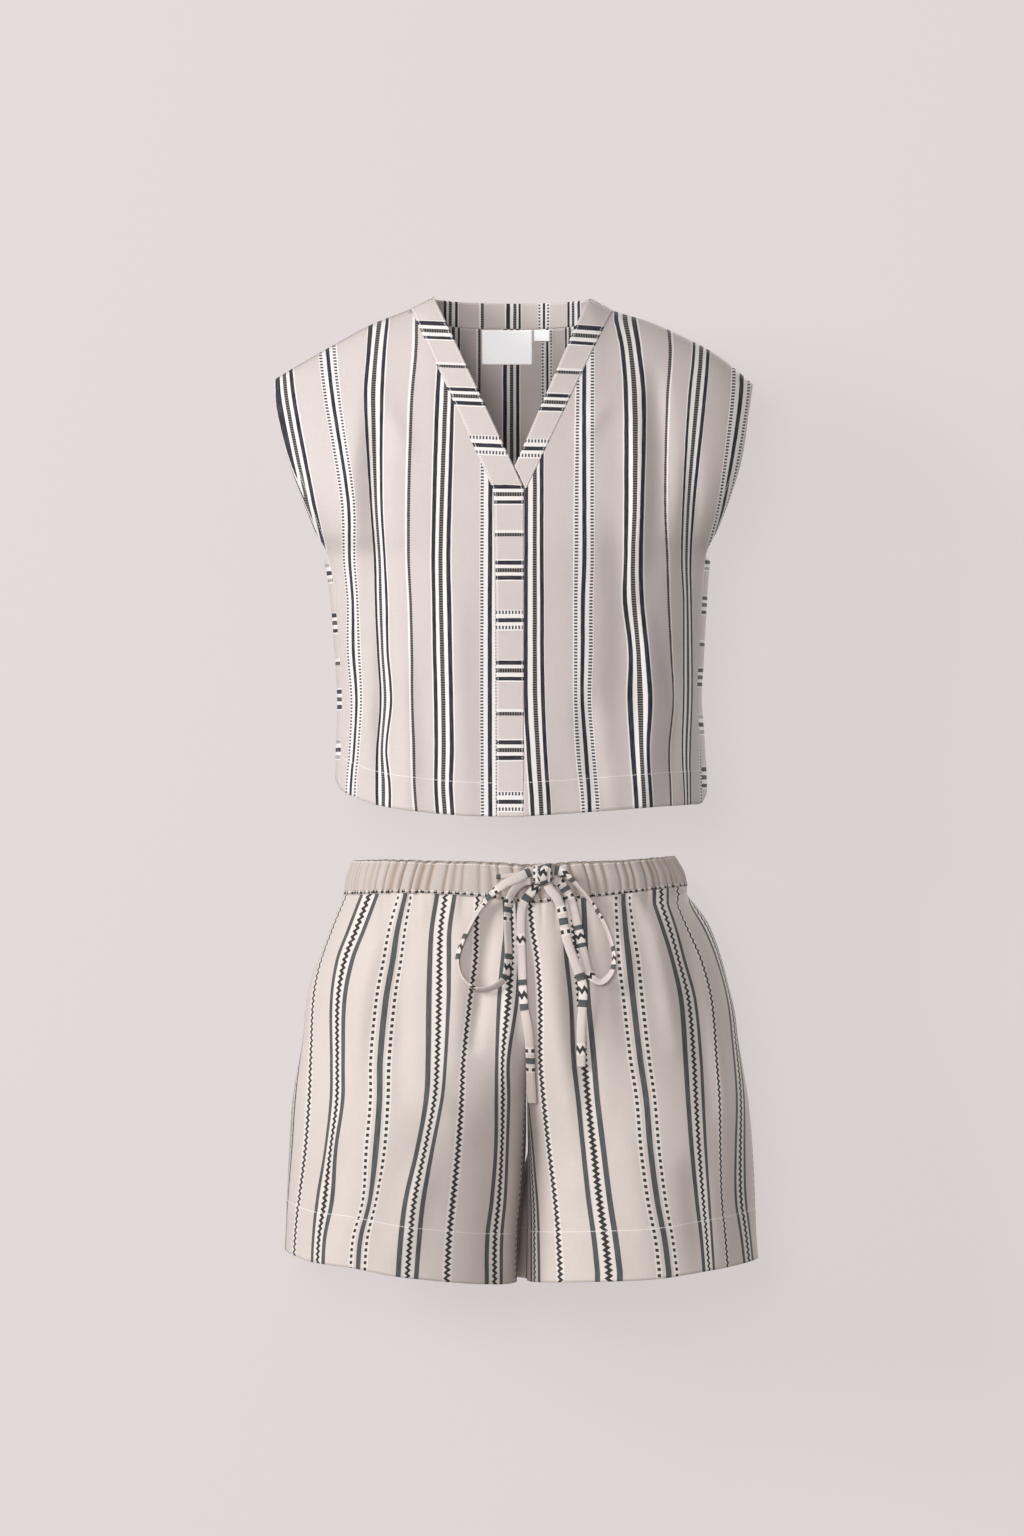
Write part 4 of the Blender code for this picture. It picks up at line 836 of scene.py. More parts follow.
def cloth_shell(name, points, cloth, flip, wall, stitch=None, gap=None, painted_trough_shade=None):
    """One closed piece of cloth: an outer and an inner face on a grid of points, and a rounded rim.

    cloth holds metres across and along the stripes, and stitch the distance from the nearest row of
    stitches and the run along it. wall is one thickness or one for each point.
    """
    settings = bpy.context.scene.clothes_cloth
    gap = settings.seam_gap if gap is None else gap
    down, across = points.shape[:2]
    normals = grid_normals(points, flip)
    middle = pulled_in(points, gap)
    half = np.broadcast_to(np.asarray(0.5 * wall, float), (down, across))[..., None]
    rim = [(0, i) for i in range(across - 1)] + [(j, across - 1) for j in range(down - 1)]
    rim += [(down - 1, i) for i in range(across - 1, 0, -1)] + [(j, 0) for j in range(down - 1, 0, -1)]
    rows = np.array([r[0] for r in rim])
    columns = np.array([r[1] for r in rim])
    centre_rows = np.clip(rows, 1, down - 2)
    centre_columns = np.clip(columns, 1, across - 2)
    outward = middle[rows, columns] - middle[centre_rows, centre_columns]
    outward /= np.maximum(np.linalg.norm(outward, axis=-1, keepdims=True), 1.0e-9)
    bulge = middle[rows, columns] + outward * 0.30 * half[rows, columns]
    vertices = np.concatenate((
        (middle + normals * half).reshape(-1, 3),
        (middle - normals * half).reshape(-1, 3),
        bulge,
    ))
    count = down * across
    index = np.arange(count).reshape(down, across)
    quads = np.stack((index[:-1, :-1], index[:-1, 1:], index[1:, 1:], index[1:, :-1]), axis=-1).reshape(-1, 4)
    outer = quads if flip > 0 else quads[:, ::-1]
    inner = (quads[:, ::-1] if flip > 0 else quads) + count
    here = index[rows, columns]
    there = np.roll(here, -1)
    edge = 2 * count + np.arange(len(rim))
    next_edge = np.roll(edge, -1)
    upper = np.stack((there, here, edge, next_edge), axis=-1)
    lower = np.stack((next_edge, edge, here + count, there + count), axis=-1)
    if flip < 0:
        upper = upper[:, ::-1]
        lower = lower[:, ::-1]
    faces = np.concatenate((outer, inner, upper, lower))
    mesh = bpy.data.meshes.new(name)
    mesh.from_pydata(vertices.tolist(), [], faces.tolist())
    mesh.update()
    mesh.shade_smooth()
    if stitch is None:
        stitch = np.full((down, across, 2), NO_STITCH)
    maps = [("cloth", cloth), ("stitch", stitch)]
    # A third UV map carries how much painted shade each point gets in the troughs of the waistband's gathers
    if painted_trough_shade is not None:
        maps.append(("painted_trough_shade", np.stack((painted_trough_shade, painted_trough_shade), axis=-1)))
    for uv_name, values in maps:
        flat = values.reshape(-1, 2)
        write_uv(mesh, uv_name, np.concatenate((flat, flat, values[rows, columns])))
    return new_object(name, mesh)


def finish_piece(piece, node, material):
    """Gives a piece its cloth, and puts it in its solid's place."""
    piece.data.materials.clear()
    piece.data.materials.append(material)
    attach(piece, BODY)
    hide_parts(node)
    return piece


# Materials


class ClothNodes:
    """A short way to lay and join the nodes of one material."""

    def __init__(self, name):
        self.material = bpy.data.materials.new(name)
        self.material.use_nodes = True
        self.tree = self.material.node_tree
        self.shader = self.tree.nodes["Principled BSDF"]

    def add(self, kind, **settings):
        node = self.tree.nodes.new(kind)
        for key, value in settings.items():
            setattr(node, key, value)
        return node

    def join(self, source, target):
        if hasattr(source, "links"):
            self.tree.links.new(source, target)
        else:
            target.default_value = source

    def math(self, operation, *values, clamp=False):
        node = self.add("ShaderNodeMath", operation=operation, use_clamp=clamp)
        for socket, value in zip(node.inputs, values):
            self.join(value, socket)
        return node.outputs[0]

    def mix_colour(self, share, first, second):
        node = self.add("ShaderNodeMix", data_type="RGBA")
        self.join(share, node.inputs[0])
        for value, socket in ((first, node.inputs[6]), (second, node.inputs[7])):
            self.join(value if hasattr(value, "links") else (*value, 1.0), socket)
        return node.outputs[2]

    def uv(self, name):
        source = self.add("ShaderNodeUVMap", uv_map=name)
        parts = self.add("ShaderNodeSeparateXYZ")
        self.join(source.outputs[0], parts.inputs[0])
        return source.outputs[0], parts.outputs[0], parts.outputs[1]

    def noise(self, vector, scale, detail=2.0):
        node = self.add("ShaderNodeTexNoise")
        node.inputs["Scale"].default_value = scale
        node.inputs["Detail"].default_value = detail
        self.join(vector, node.inputs["Vector"])
        return node.outputs["Fac"]

    def steps(self, place, bands, repeat, start, colours):
        """Sharp-edged bands across the repeat, each in the colour that stands for its yarn."""
        node = self.add("ShaderNodeValToRGB")
        ramp = node.color_ramp
        ramp.interpolation = "CONSTANT"
        ramp.elements.remove(ramp.elements[1])
        ramp.elements[0].position = 0.0
        ramp.elements[0].color = (0.0, 0.0, 0.0, 1.0)
        for middle, width, yarn in bands:
            for edge, colour in ((-0.5, colours[yarn]), (0.5, (0.0, 0.0, 0.0))):
                low = (middle + start + edge * width) / repeat
                element = ramp.elements.new(min(max(low, 0.0), 1.0))
                element.color = (*colour, 1.0)
        self.join(place, node.inputs[0])
        return node.outputs[0]

    def channels(self, colour):
        parts = self.add("ShaderNodeSeparateColor")
        self.join(colour, parts.inputs[0])
        return parts.outputs[0], parts.outputs[1], parts.outputs[2]


# Each yarn's own channel in a map of lines
YARNS = {
    "navy": (1.0, 0.0, 0.0),
    "brown": (0.0, 1.0, 0.0),
    "dotted": (0.0, 0.0, 1.0),
    "bright": (1.0, 1.0, 1.0),
}

# Threads, marks and stitches, in metres
THREAD = 0.00085
TWILL_PERIOD = 0.0006
TOP_DOT_PERIOD = 0.0032
SHORTS_DOT_PERIOD = 0.0063
STITCH_HALF_WIDTH = 0.00045
STITCH_PERIOD = 0.0028
STITCH_SHARE = 0.72
ZIGZAG_PERIOD = 0.0056
ZIGZAG_REACH = 0.0018
ZIGZAG_SLOPE = 4.0 * ZIGZAG_REACH / ZIGZAG_PERIOD

# Cotton's shader settings, and how much lighter the crosswise pieces of the top are
COTTON_ROUGHNESS = 0.88
COTTON_SHEEN = 0.06
COTTON_RELIEF = 0.00035
YARN_LIGHT = 1.11
YARN_DARK = 0.86
WEAVE_RELIEF = 0.30
STITCH_RELIEF = -1.4
CROSSWISE_TONE = 1.03


def repeat_place(nodes, across, repeat, start):
    """Place in the cloth's repeat, from 0 to 1, from metres across the stripes."""
    shifted = nodes.math("MULTIPLY_ADD", across, 1000.0 / repeat, start / repeat)
    return nodes.math("FRACT", shifted)


def weave_height(nodes, across, along):
    """Threads going over and under each other."""
    warp = nodes.math("SINE", nodes.math("MULTIPLY", across, 2.0 * math.pi / THREAD))
    weft = nodes.math("SINE", nodes.math("MULTIPLY", along, 2.0 * math.pi / THREAD))
    return nodes.math("MULTIPLY", warp, weft)


def stitch_mask(nodes):
    """Rows of short stitches beside the turned edges."""
    _, away, run = nodes.uv("stitch")
    line = nodes.math("LESS_THAN", nodes.math("ABSOLUTE", away), STITCH_HALF_WIDTH)
    place = nodes.math("FRACT", nodes.math("DIVIDE", run, STITCH_PERIOD))
    dash = nodes.math("LESS_THAN", place, STITCH_SHARE)
    return nodes.math("MULTIPLY", line, dash)


def finish_cloth(nodes, colour, height, roughness, sheen, bump_depth):
    """Joins a cloth's colour and height to its shader, and sets what is the same all over."""
    shader = nodes.shader
    nodes.join(colour, shader.inputs["Base Color"])
    shader.inputs["Roughness"].default_value = roughness
    shader.inputs["Specular IOR Level"].default_value = 0.22
    shader.inputs["Sheen Weight"].default_value = sheen
    shader.inputs["Sheen Roughness"].default_value = 0.6
    bump = nodes.add("ShaderNodeBump")
    bump.inputs["Strength"].default_value = 0.55
    bump.inputs["Distance"].default_value = bump_depth
    nodes.join(height, bump.inputs["Height"])
    nodes.join(bump.outputs[0], shader.inputs["Normal"])
    return nodes.material


def ground_colour(nodes, vector, ground):
    """The ground with the slight unevenness of spun yarn, in slubs along both threads."""
    cloudy = nodes.noise(vector, 9.0)
    stretched = nodes.add("ShaderNodeMapping")
    stretched.inputs["Scale"].default_value = (900.0, 60.0, 1.0)
    nodes.join(vector, stretched.inputs["Vector"])
    slubs = nodes.noise(stretched.outputs[0], 1.0)
    crossed = nodes.add("ShaderNodeMapping")
    crossed.inputs["Scale"].default_value = (60.0, 900.0, 1.0)
    nodes.join(vector, crossed.inputs["Vector"])
    picks = nodes.noise(crossed.outputs[0], 1.0)
    light = tuple(min(1.0, value * YARN_LIGHT) for value in ground)
    dark = tuple(value * YARN_DARK for value in ground)
    threads = nodes.math("ADD", slubs, picks)
    even = nodes.math("MULTIPLY_ADD", threads, 0.35, nodes.math("MULTIPLY", cloudy, 0.3))
    return nodes.mix_colour(even, dark, light), slubs


def top_cloth(name, tone=1.0):
    """The top's cotton: groups of fine navy, brown and dotted lines with bright yarn between them."""
    colours = bpy.context.scene.clothes_colours
    nodes = ClothNodes(name)
    vector, across, along = nodes.uv("cloth")
    wander = nodes.math("MULTIPLY_ADD", nodes.noise(vector, 60.0), 0.0005, -0.00025)
    place = repeat_place(nodes, nodes.math("ADD", across, wander), TOP_REPEAT, TOP_START)
    lines = nodes.steps(place, TOP_BANDS, TOP_REPEAT, TOP_START, YARNS)
    bright_bands = [(middle, width, "bright") for middle, width in TOP_BRIGHT]
    bright = nodes.channels(nodes.steps(place, bright_bands, TOP_REPEAT, TOP_START, YARNS))[0]
    navy, brown, dotted = nodes.channels(lines)
    ground = tuple(value * tone for value in colours.top_ground)
    base, slubs = ground_colour(nodes, vector, ground)
    colour = nodes.mix_colour(nodes.math("MULTIPLY", bright, 0.66), base, tuple(colours.top_bright))
    dot = nodes.math("LESS_THAN", nodes.math("FRACT", nodes.math("DIVIDE", along, TOP_DOT_PERIOD)), 0.56)
    rope = nodes.math("MULTIPLY_ADD", nodes.math("SINE", nodes.math("MULTIPLY", along, 2600.0)), 0.10, 0.90)
    broken = nodes.math("MULTIPLY_ADD", slubs, 0.2, 0.88, clamp=True)
    colour = nodes.mix_colour(nodes.math("MULTIPLY", navy, broken), colour, tuple(colours.navy))
    colour = nodes.mix_colour(nodes.math("MULTIPLY", brown, rope), colour, tuple(colours.brown))
    dots = nodes.math("MULTIPLY", dotted, dot)
    colour = nodes.mix_colour(nodes.math("MULTIPLY", dots, 0.92), colour, tuple(colours.navy))
    stitches = stitch_mask(nodes)
    colour = nodes.mix_colour(nodes.math("MULTIPLY", stitches, 0.5), colour, tuple(colours.top_bright))
    raised = nodes.math("ADD", nodes.math("MULTIPLY", nodes.math("ADD", navy, brown), 0.5), dots)
    height = nodes.math("MULTIPLY_ADD", weave_height(nodes, across, along), WEAVE_RELIEF, raised)
    height = nodes.math("MULTIPLY_ADD", stitches, STITCH_RELIEF, height)
    return finish_cloth(nodes, colour, height, COTTON_ROUGHNESS, COTTON_SHEEN, COTTON_RELIEF)


def shorts_cloth(name, tone=1.0, bright_share=0.34, gathered=False):
    """The shorts' cotton: grey bars, black zigzags and rows of black dots; if gathered, painted shade in the
    troughs of the gathers.
    """
    colours = bpy.context.scene.clothes_colours
    nodes = ClothNodes(name)
    vector, across, along = nodes.uv("cloth")
    place = repeat_place(nodes, across, SHORTS_REPEAT, SHORTS_START)
    bars = nodes.steps(place, SHORTS_BANDS, SHORTS_REPEAT, SHORTS_START, YARNS)
    sway = nodes.math("PINGPONG", along, 0.5 * ZIGZAG_PERIOD)
    swayed = nodes.math("ADD", across, nodes.math("MULTIPLY_ADD", sway, ZIGZAG_SLOPE, -ZIGZAG_REACH))
    zigzag_place = repeat_place(nodes, swayed, SHORTS_REPEAT, SHORTS_START)
    zigzag = nodes.channels(nodes.steps(zigzag_place, SHORTS_ZIGZAGS, SHORTS_REPEAT, SHORTS_START, YARNS))[1]
    bright_bands = [(middle, width, "bright") for middle, width in SHORTS_BRIGHT]
    bright = nodes.channels(nodes.steps(place, bright_bands, SHORTS_REPEAT, SHORTS_START, YARNS))[0]
    grey, _, dotted = nodes.channels(bars)
    ground = tuple(value * tone for value in colours.shorts_ground)
    base, slubs = ground_colour(nodes, vector, ground)
    lightened = nodes.math("MULTIPLY", bright, bright_share)
    colour = nodes.mix_colour(lightened, base, tuple(colours.shorts_bright))
    # Painted shade: where gathered, the cloth darkens towards brown in the troughs of the gathers, where
    # shadow falls
    if gathered:
        painted_trough_shade = nodes.uv("painted_trough_shade")[1]
        colour = nodes.mix_colour(nodes.math("MULTIPLY", painted_trough_shade, 0.95), colour, tuple(colours.painted_trough_shade))
    dot = nodes.math("LESS_THAN", nodes.math("FRACT", nodes.math("DIVIDE", along, SHORTS_DOT_PERIOD)), 0.50)
    broken = nodes.math("MULTIPLY_ADD", slubs, 0.3, 0.80, clamp=True)
    colour = nodes.mix_colour(nodes.math("MULTIPLY", grey, broken), colour, tuple(colours.grey))
    marks = nodes.math("MAXIMUM", zigzag, nodes.math("MULTIPLY", dotted, dot))
    colour = nodes.mix_colour(nodes.math("MULTIPLY", marks, 0.96), colour, tuple(colours.black))
    stitches = stitch_mask(nodes)
    colour = nodes.mix_colour(nodes.math("MULTIPLY", stitches, 0.6), colour, tuple(colours.shorts_bright))
    raised = nodes.math("ADD", marks, nodes.math("MULTIPLY", grey, 0.3))
    height = nodes.math("MULTIPLY_ADD", weave_height(nodes, across, along), WEAVE_RELIEF, raised)
    height = nodes.math("MULTIPLY_ADD", stitches, STITCH_RELIEF, height)
    return finish_cloth(nodes, colour, height, COTTON_ROUGHNESS, COTTON_SHEEN, COTTON_RELIEF)


def label_satin(name):
    """Blank white satin with a fine twill and a soft gloss, and a painted glow that makes it look brightly
    lit.
    """
    nodes = ClothNodes(name)
    vector, across, along = nodes.uv("cloth")
    diagonal = nodes.math("ADD", across, along)
    twill = nodes.math("SINE", nodes.math("MULTIPLY", diagonal, 2.0 * math.pi / TWILL_PERIOD))
    cloudy = nodes.noise(vector, 80.0)
    white = tuple(bpy.context.scene.clothes_colours.label)
    colour = nodes.mix_colour(cloudy, tuple(value * 0.95 for value in white), white)
    material = finish_cloth(nodes, colour, twill, 0.42, 0.2, 0.00006)
    nodes.shader.inputs["Specular IOR Level"].default_value = 0.45
    # Painted light: the label glows faintly by itself, so it shows bright white in the shade inside the neck
    nodes.shader.inputs["Emission Color"].default_value = (*white, 1.0)
    nodes.shader.inputs["Emission Strength"].default_value = 0.30
    return material


def material_once(slot, maker, **settings):
    """A slot's woven material, which several pieces share."""
    name = f"{slot}_woven"
    return bpy.data.materials.get(name) or maker(name, **settings)


# Pieces of the top

SIDE_CELLS = 70
ARMHOLE_CELLS = 76
FRONT_NECK_CELLS = 40
FRONT_SHOULDER_CELLS = 52
BACK_NECK_CELLS = 60
BACK_SHOULDER_CELLS = 44
NECKBAND_CELLS = 14
NECKBAND_CELLS_ALONG = 110
BACK_BAND_CELLS_ALONG = 120
PLACKET_CELLS_DOWN = 150
NECKBAND_WIDTH = 0.023
PLACKET_WIDTH = 0.0266
STITCH_INSET = 0.0016


def edge_stitches(places, side):
    """Distance from the hem's and the armhole's rows of stitches, and the run along them."""
    x = places[..., 0]
    z = places[..., 1]
    share = np.abs(x) / half_width(x, z)
    hem = np.where(x > 0.0, top_hem(1, share), top_hem(-1, share))
    from_hem = z - hem - TOP_HEM_DEPTH
    edge = read(TOP_FORM, "left" if side > 0 else "right", z)
    above = smooth_step(UNDERARM - 0.004, UNDERARM + 0.006, z)
    from_armhole = mix(NO_STITCH, edge - np.abs(x) - ARMHOLE_STITCH, above)
    nearest = np.where(np.abs(from_armhole) < np.abs(from_hem), from_armhole, from_hem)
    run = np.where(np.abs(from_armhole) < np.abs(from_hem), z, x)
    return np.stack((nearest, run), axis=-1), from_hem


def front_places(side):
    """Places of one front in the front view, from the hem up and from the placket out."""
    corners = band_corners(side)
    sloped = shoulder_line(side, FRONT_SHOULDER_CELLS)
    head = np.concatenate((straight(corners[0], corners[2], FRONT_NECK_CELLS), sloped[1:]))
    outer = side_edge(side, SIDE_CELLS, ARMHOLE_CELLS)
    column = "left" if side > 0 else "right"
    foot = top_hem_line(float(read(PLACKET_FORM, column, PLACKET_FORM["height"][-1])), outer[0, 0], head)
    foot[-1] = outer[0]
    z = np.linspace(foot[0, 1], corners[0][1], len(outer))
    inner = np.stack((read(PLACKET_FORM, column, z), z), axis=-1)
    inner[-1] = corners[0]
    foot[0] = inner[0]
    return fill_patch(foot, head, inner, outer)


def band_stitches(across_band, width):
    """Distance from the nearer of a band's two rows of stitches, which lie inside its edges."""
    return np.minimum(across_band - STITCH_INSET, width - STITCH_INSET - across_band)


def crosswise_cloth():
    return material_once("top_crosswise_cloth", top_cloth, tone=CROSSWISE_TONE)


def doubled_wall(wall, from_edge):
    """Thicker where a hem is turned up, with a soft step at its stitches."""
    extra = HEM_EXTRA_WALL * (1.0 - smooth_step(-HEM_STEP_WIDTH, HEM_STEP_WIDTH, from_edge))
    return wall + extra - STITCH_SINK * np.exp(-((from_edge / STITCH_SINK_WIDTH) ** 2))


class CLOTHES_OT_top_fronts(Operator):
    """Builds the two fronts of the top."""

    bl_idname = "clothes.top_fronts"
    bl_label = "Top fronts"

    def execute(self, context):
        wall = context.scene.clothes_cloth.panel_wall
        cloth = material_once("top_cloth", top_cloth)
        for side, half, lines in ((-1, "right", TOP_RIGHT_LINES), (1, "left", TOP_LEFT_LINES)):
            places = front_places(side)
            x = places[..., 0]
            z = places[..., 1]
            points = top_points(x, z, False)
            limit = CHARTED_SHARE * half_width(x, z)
            charted = np.clip(x, -limit, limit)
            reach = top_reach(charted, z, False) + top_folds(charted, z, False)
            seen_x, seen_z = seen_from_front(charted, reach, z)
            across = (
                cloth_across(lines, seen_x, seen_z) + level_arc(x, z, False) - level_arc(charted, z, False)
            )
            stitch, from_hem = edge_stitches(places, side)
            piece = cloth_shell(
                f"top_front_{half}_cloth", points, np.stack((across, z), axis=-1), side,
                doubled_wall(wall, from_hem), stitch,
            )
            finish_piece(piece, f"top_front_{half}", cloth)
        return {"FINISHED"}


def back_neck_line(cells):
    shares = -np.cos(math.pi * np.arange(cells + 1) / cells)
    middle = 0.5 * (NECK_CORNER_LEFT[0] + NECK_CORNER_RIGHT[0])
    half = 0.5 * (NECK_CORNER_LEFT[0] - NECK_CORNER_RIGHT[0])
    corner = np.where(shares > 0.0, NECK_CORNER_LEFT[1], NECK_CORNER_RIGHT[1])
    height = mix(BACK_NECK_DROP, corner, np.abs(shares) ** BACK_NECK_POWER)
    return np.stack((middle + half * shares, height), axis=-1)


def back_cloth(x, z):
    """Metres of cloth across the back: its true width, and closer together at the back neck."""
    plain = level_arc(x, z, True) - PHOTO_CENTRE[0]
    charted = np.array(BACK_NECK_CHART["across"])
    beyond = np.array(BACK_NECK_CHART["cloth"]) - charted + 1000.0 * PHOTO_CENTRE[0]
    extra = curve(charted, beyond, x * 1000.0) * 0.001
    return BACK_TOP_MIDDLE - plain - extra * smooth_step(-0.380, -0.060, z)


class CLOTHES_OT_top_back(Operator):
    """Builds the back of the top."""

    bl_idname = "clothes.top_back"
    bl_label = "Top back"

    def execute(self, context):
        wall = context.scene.clothes_cloth.panel_wall
        right = shoulder_line(-1, BACK_SHOULDER_CELLS)[::-1]
        left = shoulder_line(1, BACK_SHOULDER_CELLS)
        head = np.concatenate((right, back_neck_line(BACK_NECK_CELLS)[1:-1], left))
        start = side_edge(-1, SIDE_CELLS, ARMHOLE_CELLS)
        end = side_edge(1, SIDE_CELLS, ARMHOLE_CELLS)
        foot = top_hem_line(start[0, 0], end[0, 0], head)
        foot[0] = start[0]
        foot[-1] = end[0]
        places = fill_patch(foot, head, start, end)
        x = places[..., 0]
        z = places[..., 1]
        points = top_points(x, z, True)
        left_stitch, from_hem = edge_stitches(places, 1)
        right_stitch, _ = edge_stitches(places, -1)
        stitch = np.where((x > 0.0)[..., None], left_stitch, right_stitch)
        cloth = np.stack((back_cloth(x, z), z), axis=-1)
        piece = cloth_shell("top_back_cloth", points, cloth, -1, doubled_wall(wall, from_hem), stitch)
        finish_piece(piece, "top_back", material_once("top_cloth", top_cloth))
        return {"FINISHED"}


class CLOTHES_OT_side_strips(Operator):
    """Builds the two side strips of the top, which are cut crosswise."""

    bl_idname = "clothes.side_strips"
    bl_label = "Side strips"

    def execute(self, context):
        wall = context.scene.clothes_cloth.panel_wall
        cloth = crosswise_cloth()
        for side, half, chart in ((-1, "right", STRIP_RIGHT_CHART), (1, "left", STRIP_LEFT_CHART)):
            edge = side_edge(side, SIDE_CELLS, ARMHOLE_CELLS)[:SIDE_CELLS + 1]
            front = top_points(edge[:, 0], edge[:, 1], False)
            back = top_points(edge[:, 0], edge[:, 1], True)
            turn = np.linspace(1.0, -1.0, 33)[None]
            rise = np.linspace(0.0, 1.0, len(edge))[:, None]
            outline = mix(float(top_hem(side, 1.0)), UNDERARM - STRIP_DIP, rise)
            z = mix(outline, edge[:, 1:2], turn * turn)
            depth = np.where(turn > 0.0, read(TOP_FORM, "front", z), read(TOP_FORM, "back", z))
            y = np.where(turn > 0.0, front[:, 1:2], back[:, 1:2]) * np.abs(turn)
            x = side * half_width(side, z) * dome(y / depth, SECTION_POWER)
            points = np.stack((x, y, z), axis=-1)
            points[:, 0] = front
            points[:, -1] = back
            across = read(chart, "cloth", z * 1000.0) * 0.001
            hem = mix(float(top_hem(side, 1.0)), float(edge[0, 1]), turn * turn)
            from_hem = z - hem - TOP_HEM_DEPTH
            stitch = np.stack((from_hem, y), axis=-1)
            piece = cloth_shell(
                f"top_side_strip_{half}_cloth", points, np.stack((across, y), axis=-1), -side,
                doubled_wall(wall, from_hem), stitch,
            )
            finish_piece(piece, f"top_side_strip_{half}", cloth)
        return {"FINISHED"}


def neck_side_row(side, cells):
    """The neckband's points on top of one shoulder, where its front and back runs meet."""
    _, _, outer, inner = band_corners(side)
    shares = np.linspace(0.0, 1.0, cells + 1)
    x = mix(outer[0], inner[0], shares)
    return np.stack((x, np.zeros(cells + 1), mix(outer[1], inner[1], shares)), axis=-1)


class CLOTHES_OT_neckbands(Operator):
    """Builds the neckband's two front runs and its back run."""

    bl_idname = "clothes.neckbands"
    bl_label = "Neckbands"

    def execute(self, context):
        wall = context.scene.clothes_cloth.band_wall
        cloth = crosswise_cloth()
        cells = NECKBAND_CELLS
        for side, half, chart in ((-1, "right", BAND_RIGHT_CHART), (1, "left", BAND_LEFT_CHART)):
            outer_foot, inner_foot, outer_top, inner_top = band_corners(side)
            outer = straight(outer_foot, outer_top, NECKBAND_CELLS_ALONG)
            inner = straight(inner_foot, inner_top, NECKBAND_CELLS_ALONG)
            shares = np.linspace(0.0, 1.0, cells + 1)[None, :, None]
            places = mix(outer[:, None], inner[:, None], shares)
            points = top_points(places[..., 0], places[..., 1], False)
            points[-1] = neck_side_row(side, cells)
            rise = np.linspace(0.0, 1.0, len(outer))[:, None]
            slope = 0.045 if side < 0 else 0.015 + 0.09 * rise
            tilt = slope * (places[..., 0] - 0.5 * (outer[:, :1] + inner[:, :1]))
            _, seen_z = seen_from_front(places[..., 0], -points[..., 1], places[..., 1])
            across = read(chart, "cloth", (seen_z + tilt) * 1000.0) * 0.001
            from_edge = band_stitches(shares[..., 0] * NECKBAND_WIDTH, NECKBAND_WIDTH)
            stitch = np.stack((from_edge * np.ones_like(across), places[..., 1]), axis=-1)
            uv = np.stack((across, places[..., 0]), axis=-1)
            piece = cloth_shell(f"neckband_{half}_cloth", points, uv, -side, wall, stitch)
            finish_piece(piece, f"neckband_{half}", cloth)
        seam_line = back_neck_line(BACK_BAND_CELLS_ALONG)
        seam = top_points(seam_line[:, 0], seam_line[:, 1], True)
        side_share = np.minimum(1.0, np.abs(seam[:, 0]) / NECK_CORNER_LEFT[0])
        top_height = mix(BACK_BAND_TOP, BAND_TOP_LEFT[1], side_share ** 2)
        top = np.stack((seam[:, 0] * BACK_BAND_SHARE, seam[:, 1] * BACK_BAND_LEAN, top_height), axis=-1)
        shares = np.linspace(0.0, 1.0, cells + 1)[None, :, None]
        points = mix(seam[:, None], top[:, None], shares)
        points[0] = neck_side_row(-1, cells)
        points[-1] = neck_side_row(1, cells)
        chart = BACK_BAND_CHART
        across = BACK_TOP_MIDDLE - np.interp(points[..., 0] * 1000.0, chart["across"], chart["cloth"]) * 0.001
        uv = np.stack((across, points[..., 2]), axis=-1)
        piece = cloth_shell("neckband_back_cloth", points, uv, 1, wall)
        finish_piece(piece, "neckband_back", cloth)
        return {"FINISHED"}


class CLOTHES_OT_placket(Operator):
    """Builds the centre front placket, which is cut crosswise."""

    bl_idname = "clothes.placket"
    bl_label = "Placket"

    def execute(self, context):
        wall = context.scene.clothes_cloth.band_wall
        foot = float(read(TOP_HEM_FORM, "right", 0.0))
        z = np.linspace(foot, V_END_RIGHT[1], PLACKET_CELLS_DOWN + 1)
        z_inner = np.linspace(foot, BAND_END_RIGHT[1], PLACKET_CELLS_DOWN + 1)
        x = read(PLACKET_FORM, "right", z)
        x_inner = np.minimum(BAND_END_RIGHT[0], read(PLACKET_FORM, "left", z_inner))
        shares = np.linspace(0.0, 1.0, 17)[None]
        across = mix(x[:, None], x_inner[:, None], shares)
        height = mix(z[:, None], z_inner[:, None], shares)
        points = top_points(across, height, False)
        _, seen_z = seen_from_front(across, -points[..., 1], height)
        cloth = np.stack((read(PLACKET_CHART, "cloth", seen_z * 1000.0) * 0.001, across), axis=-1)
        from_edge = band_stitches(shares * PLACKET_WIDTH, PLACKET_WIDTH) * np.ones_like(across)
        stitch = np.stack((from_edge, height), axis=-1)
        piece = cloth_shell("placket_cloth", points, cloth, 1, wall, stitch)
        finish_piece(piece, "placket", crosswise_cloth())
        return {"FINISHED"}


class CLOTHES_OT_labels(Operator):
    """Builds the blank neck label and the blank size tab."""

    bl_idname = "clothes.labels"
    bl_label = "Labels"

    def execute(self, context):
        settings = context.scene.clothes_cloth
        satin = material_once("label_satin", label_satin)
        for node, edges in (("neck_label", LABEL_EDGES), ("size_tab", SIZE_TAB_EDGES)):
            left, right, top, bottom = edges
            x, z = np.meshgrid(np.linspace(left, right, 31), np.linspace(bottom, top, 23))
            points = top_points(x, z, True)
            down = (top - z) / (top - bottom)
            lift = LABEL_LIFT * np.sin(0.5 * math.pi * down)
            points[..., 1] -= 0.5 * settings.panel_wall + LABEL_CLEARANCE + lift
            uv = np.stack((x, z), axis=-1)
            piece = cloth_shell(f"{node}_satin", points, uv, -1, settings.label_wall, gap=0.0)
            finish_piece(piece, node, satin)
        return {"FINISHED"}


# Pieces of the shorts


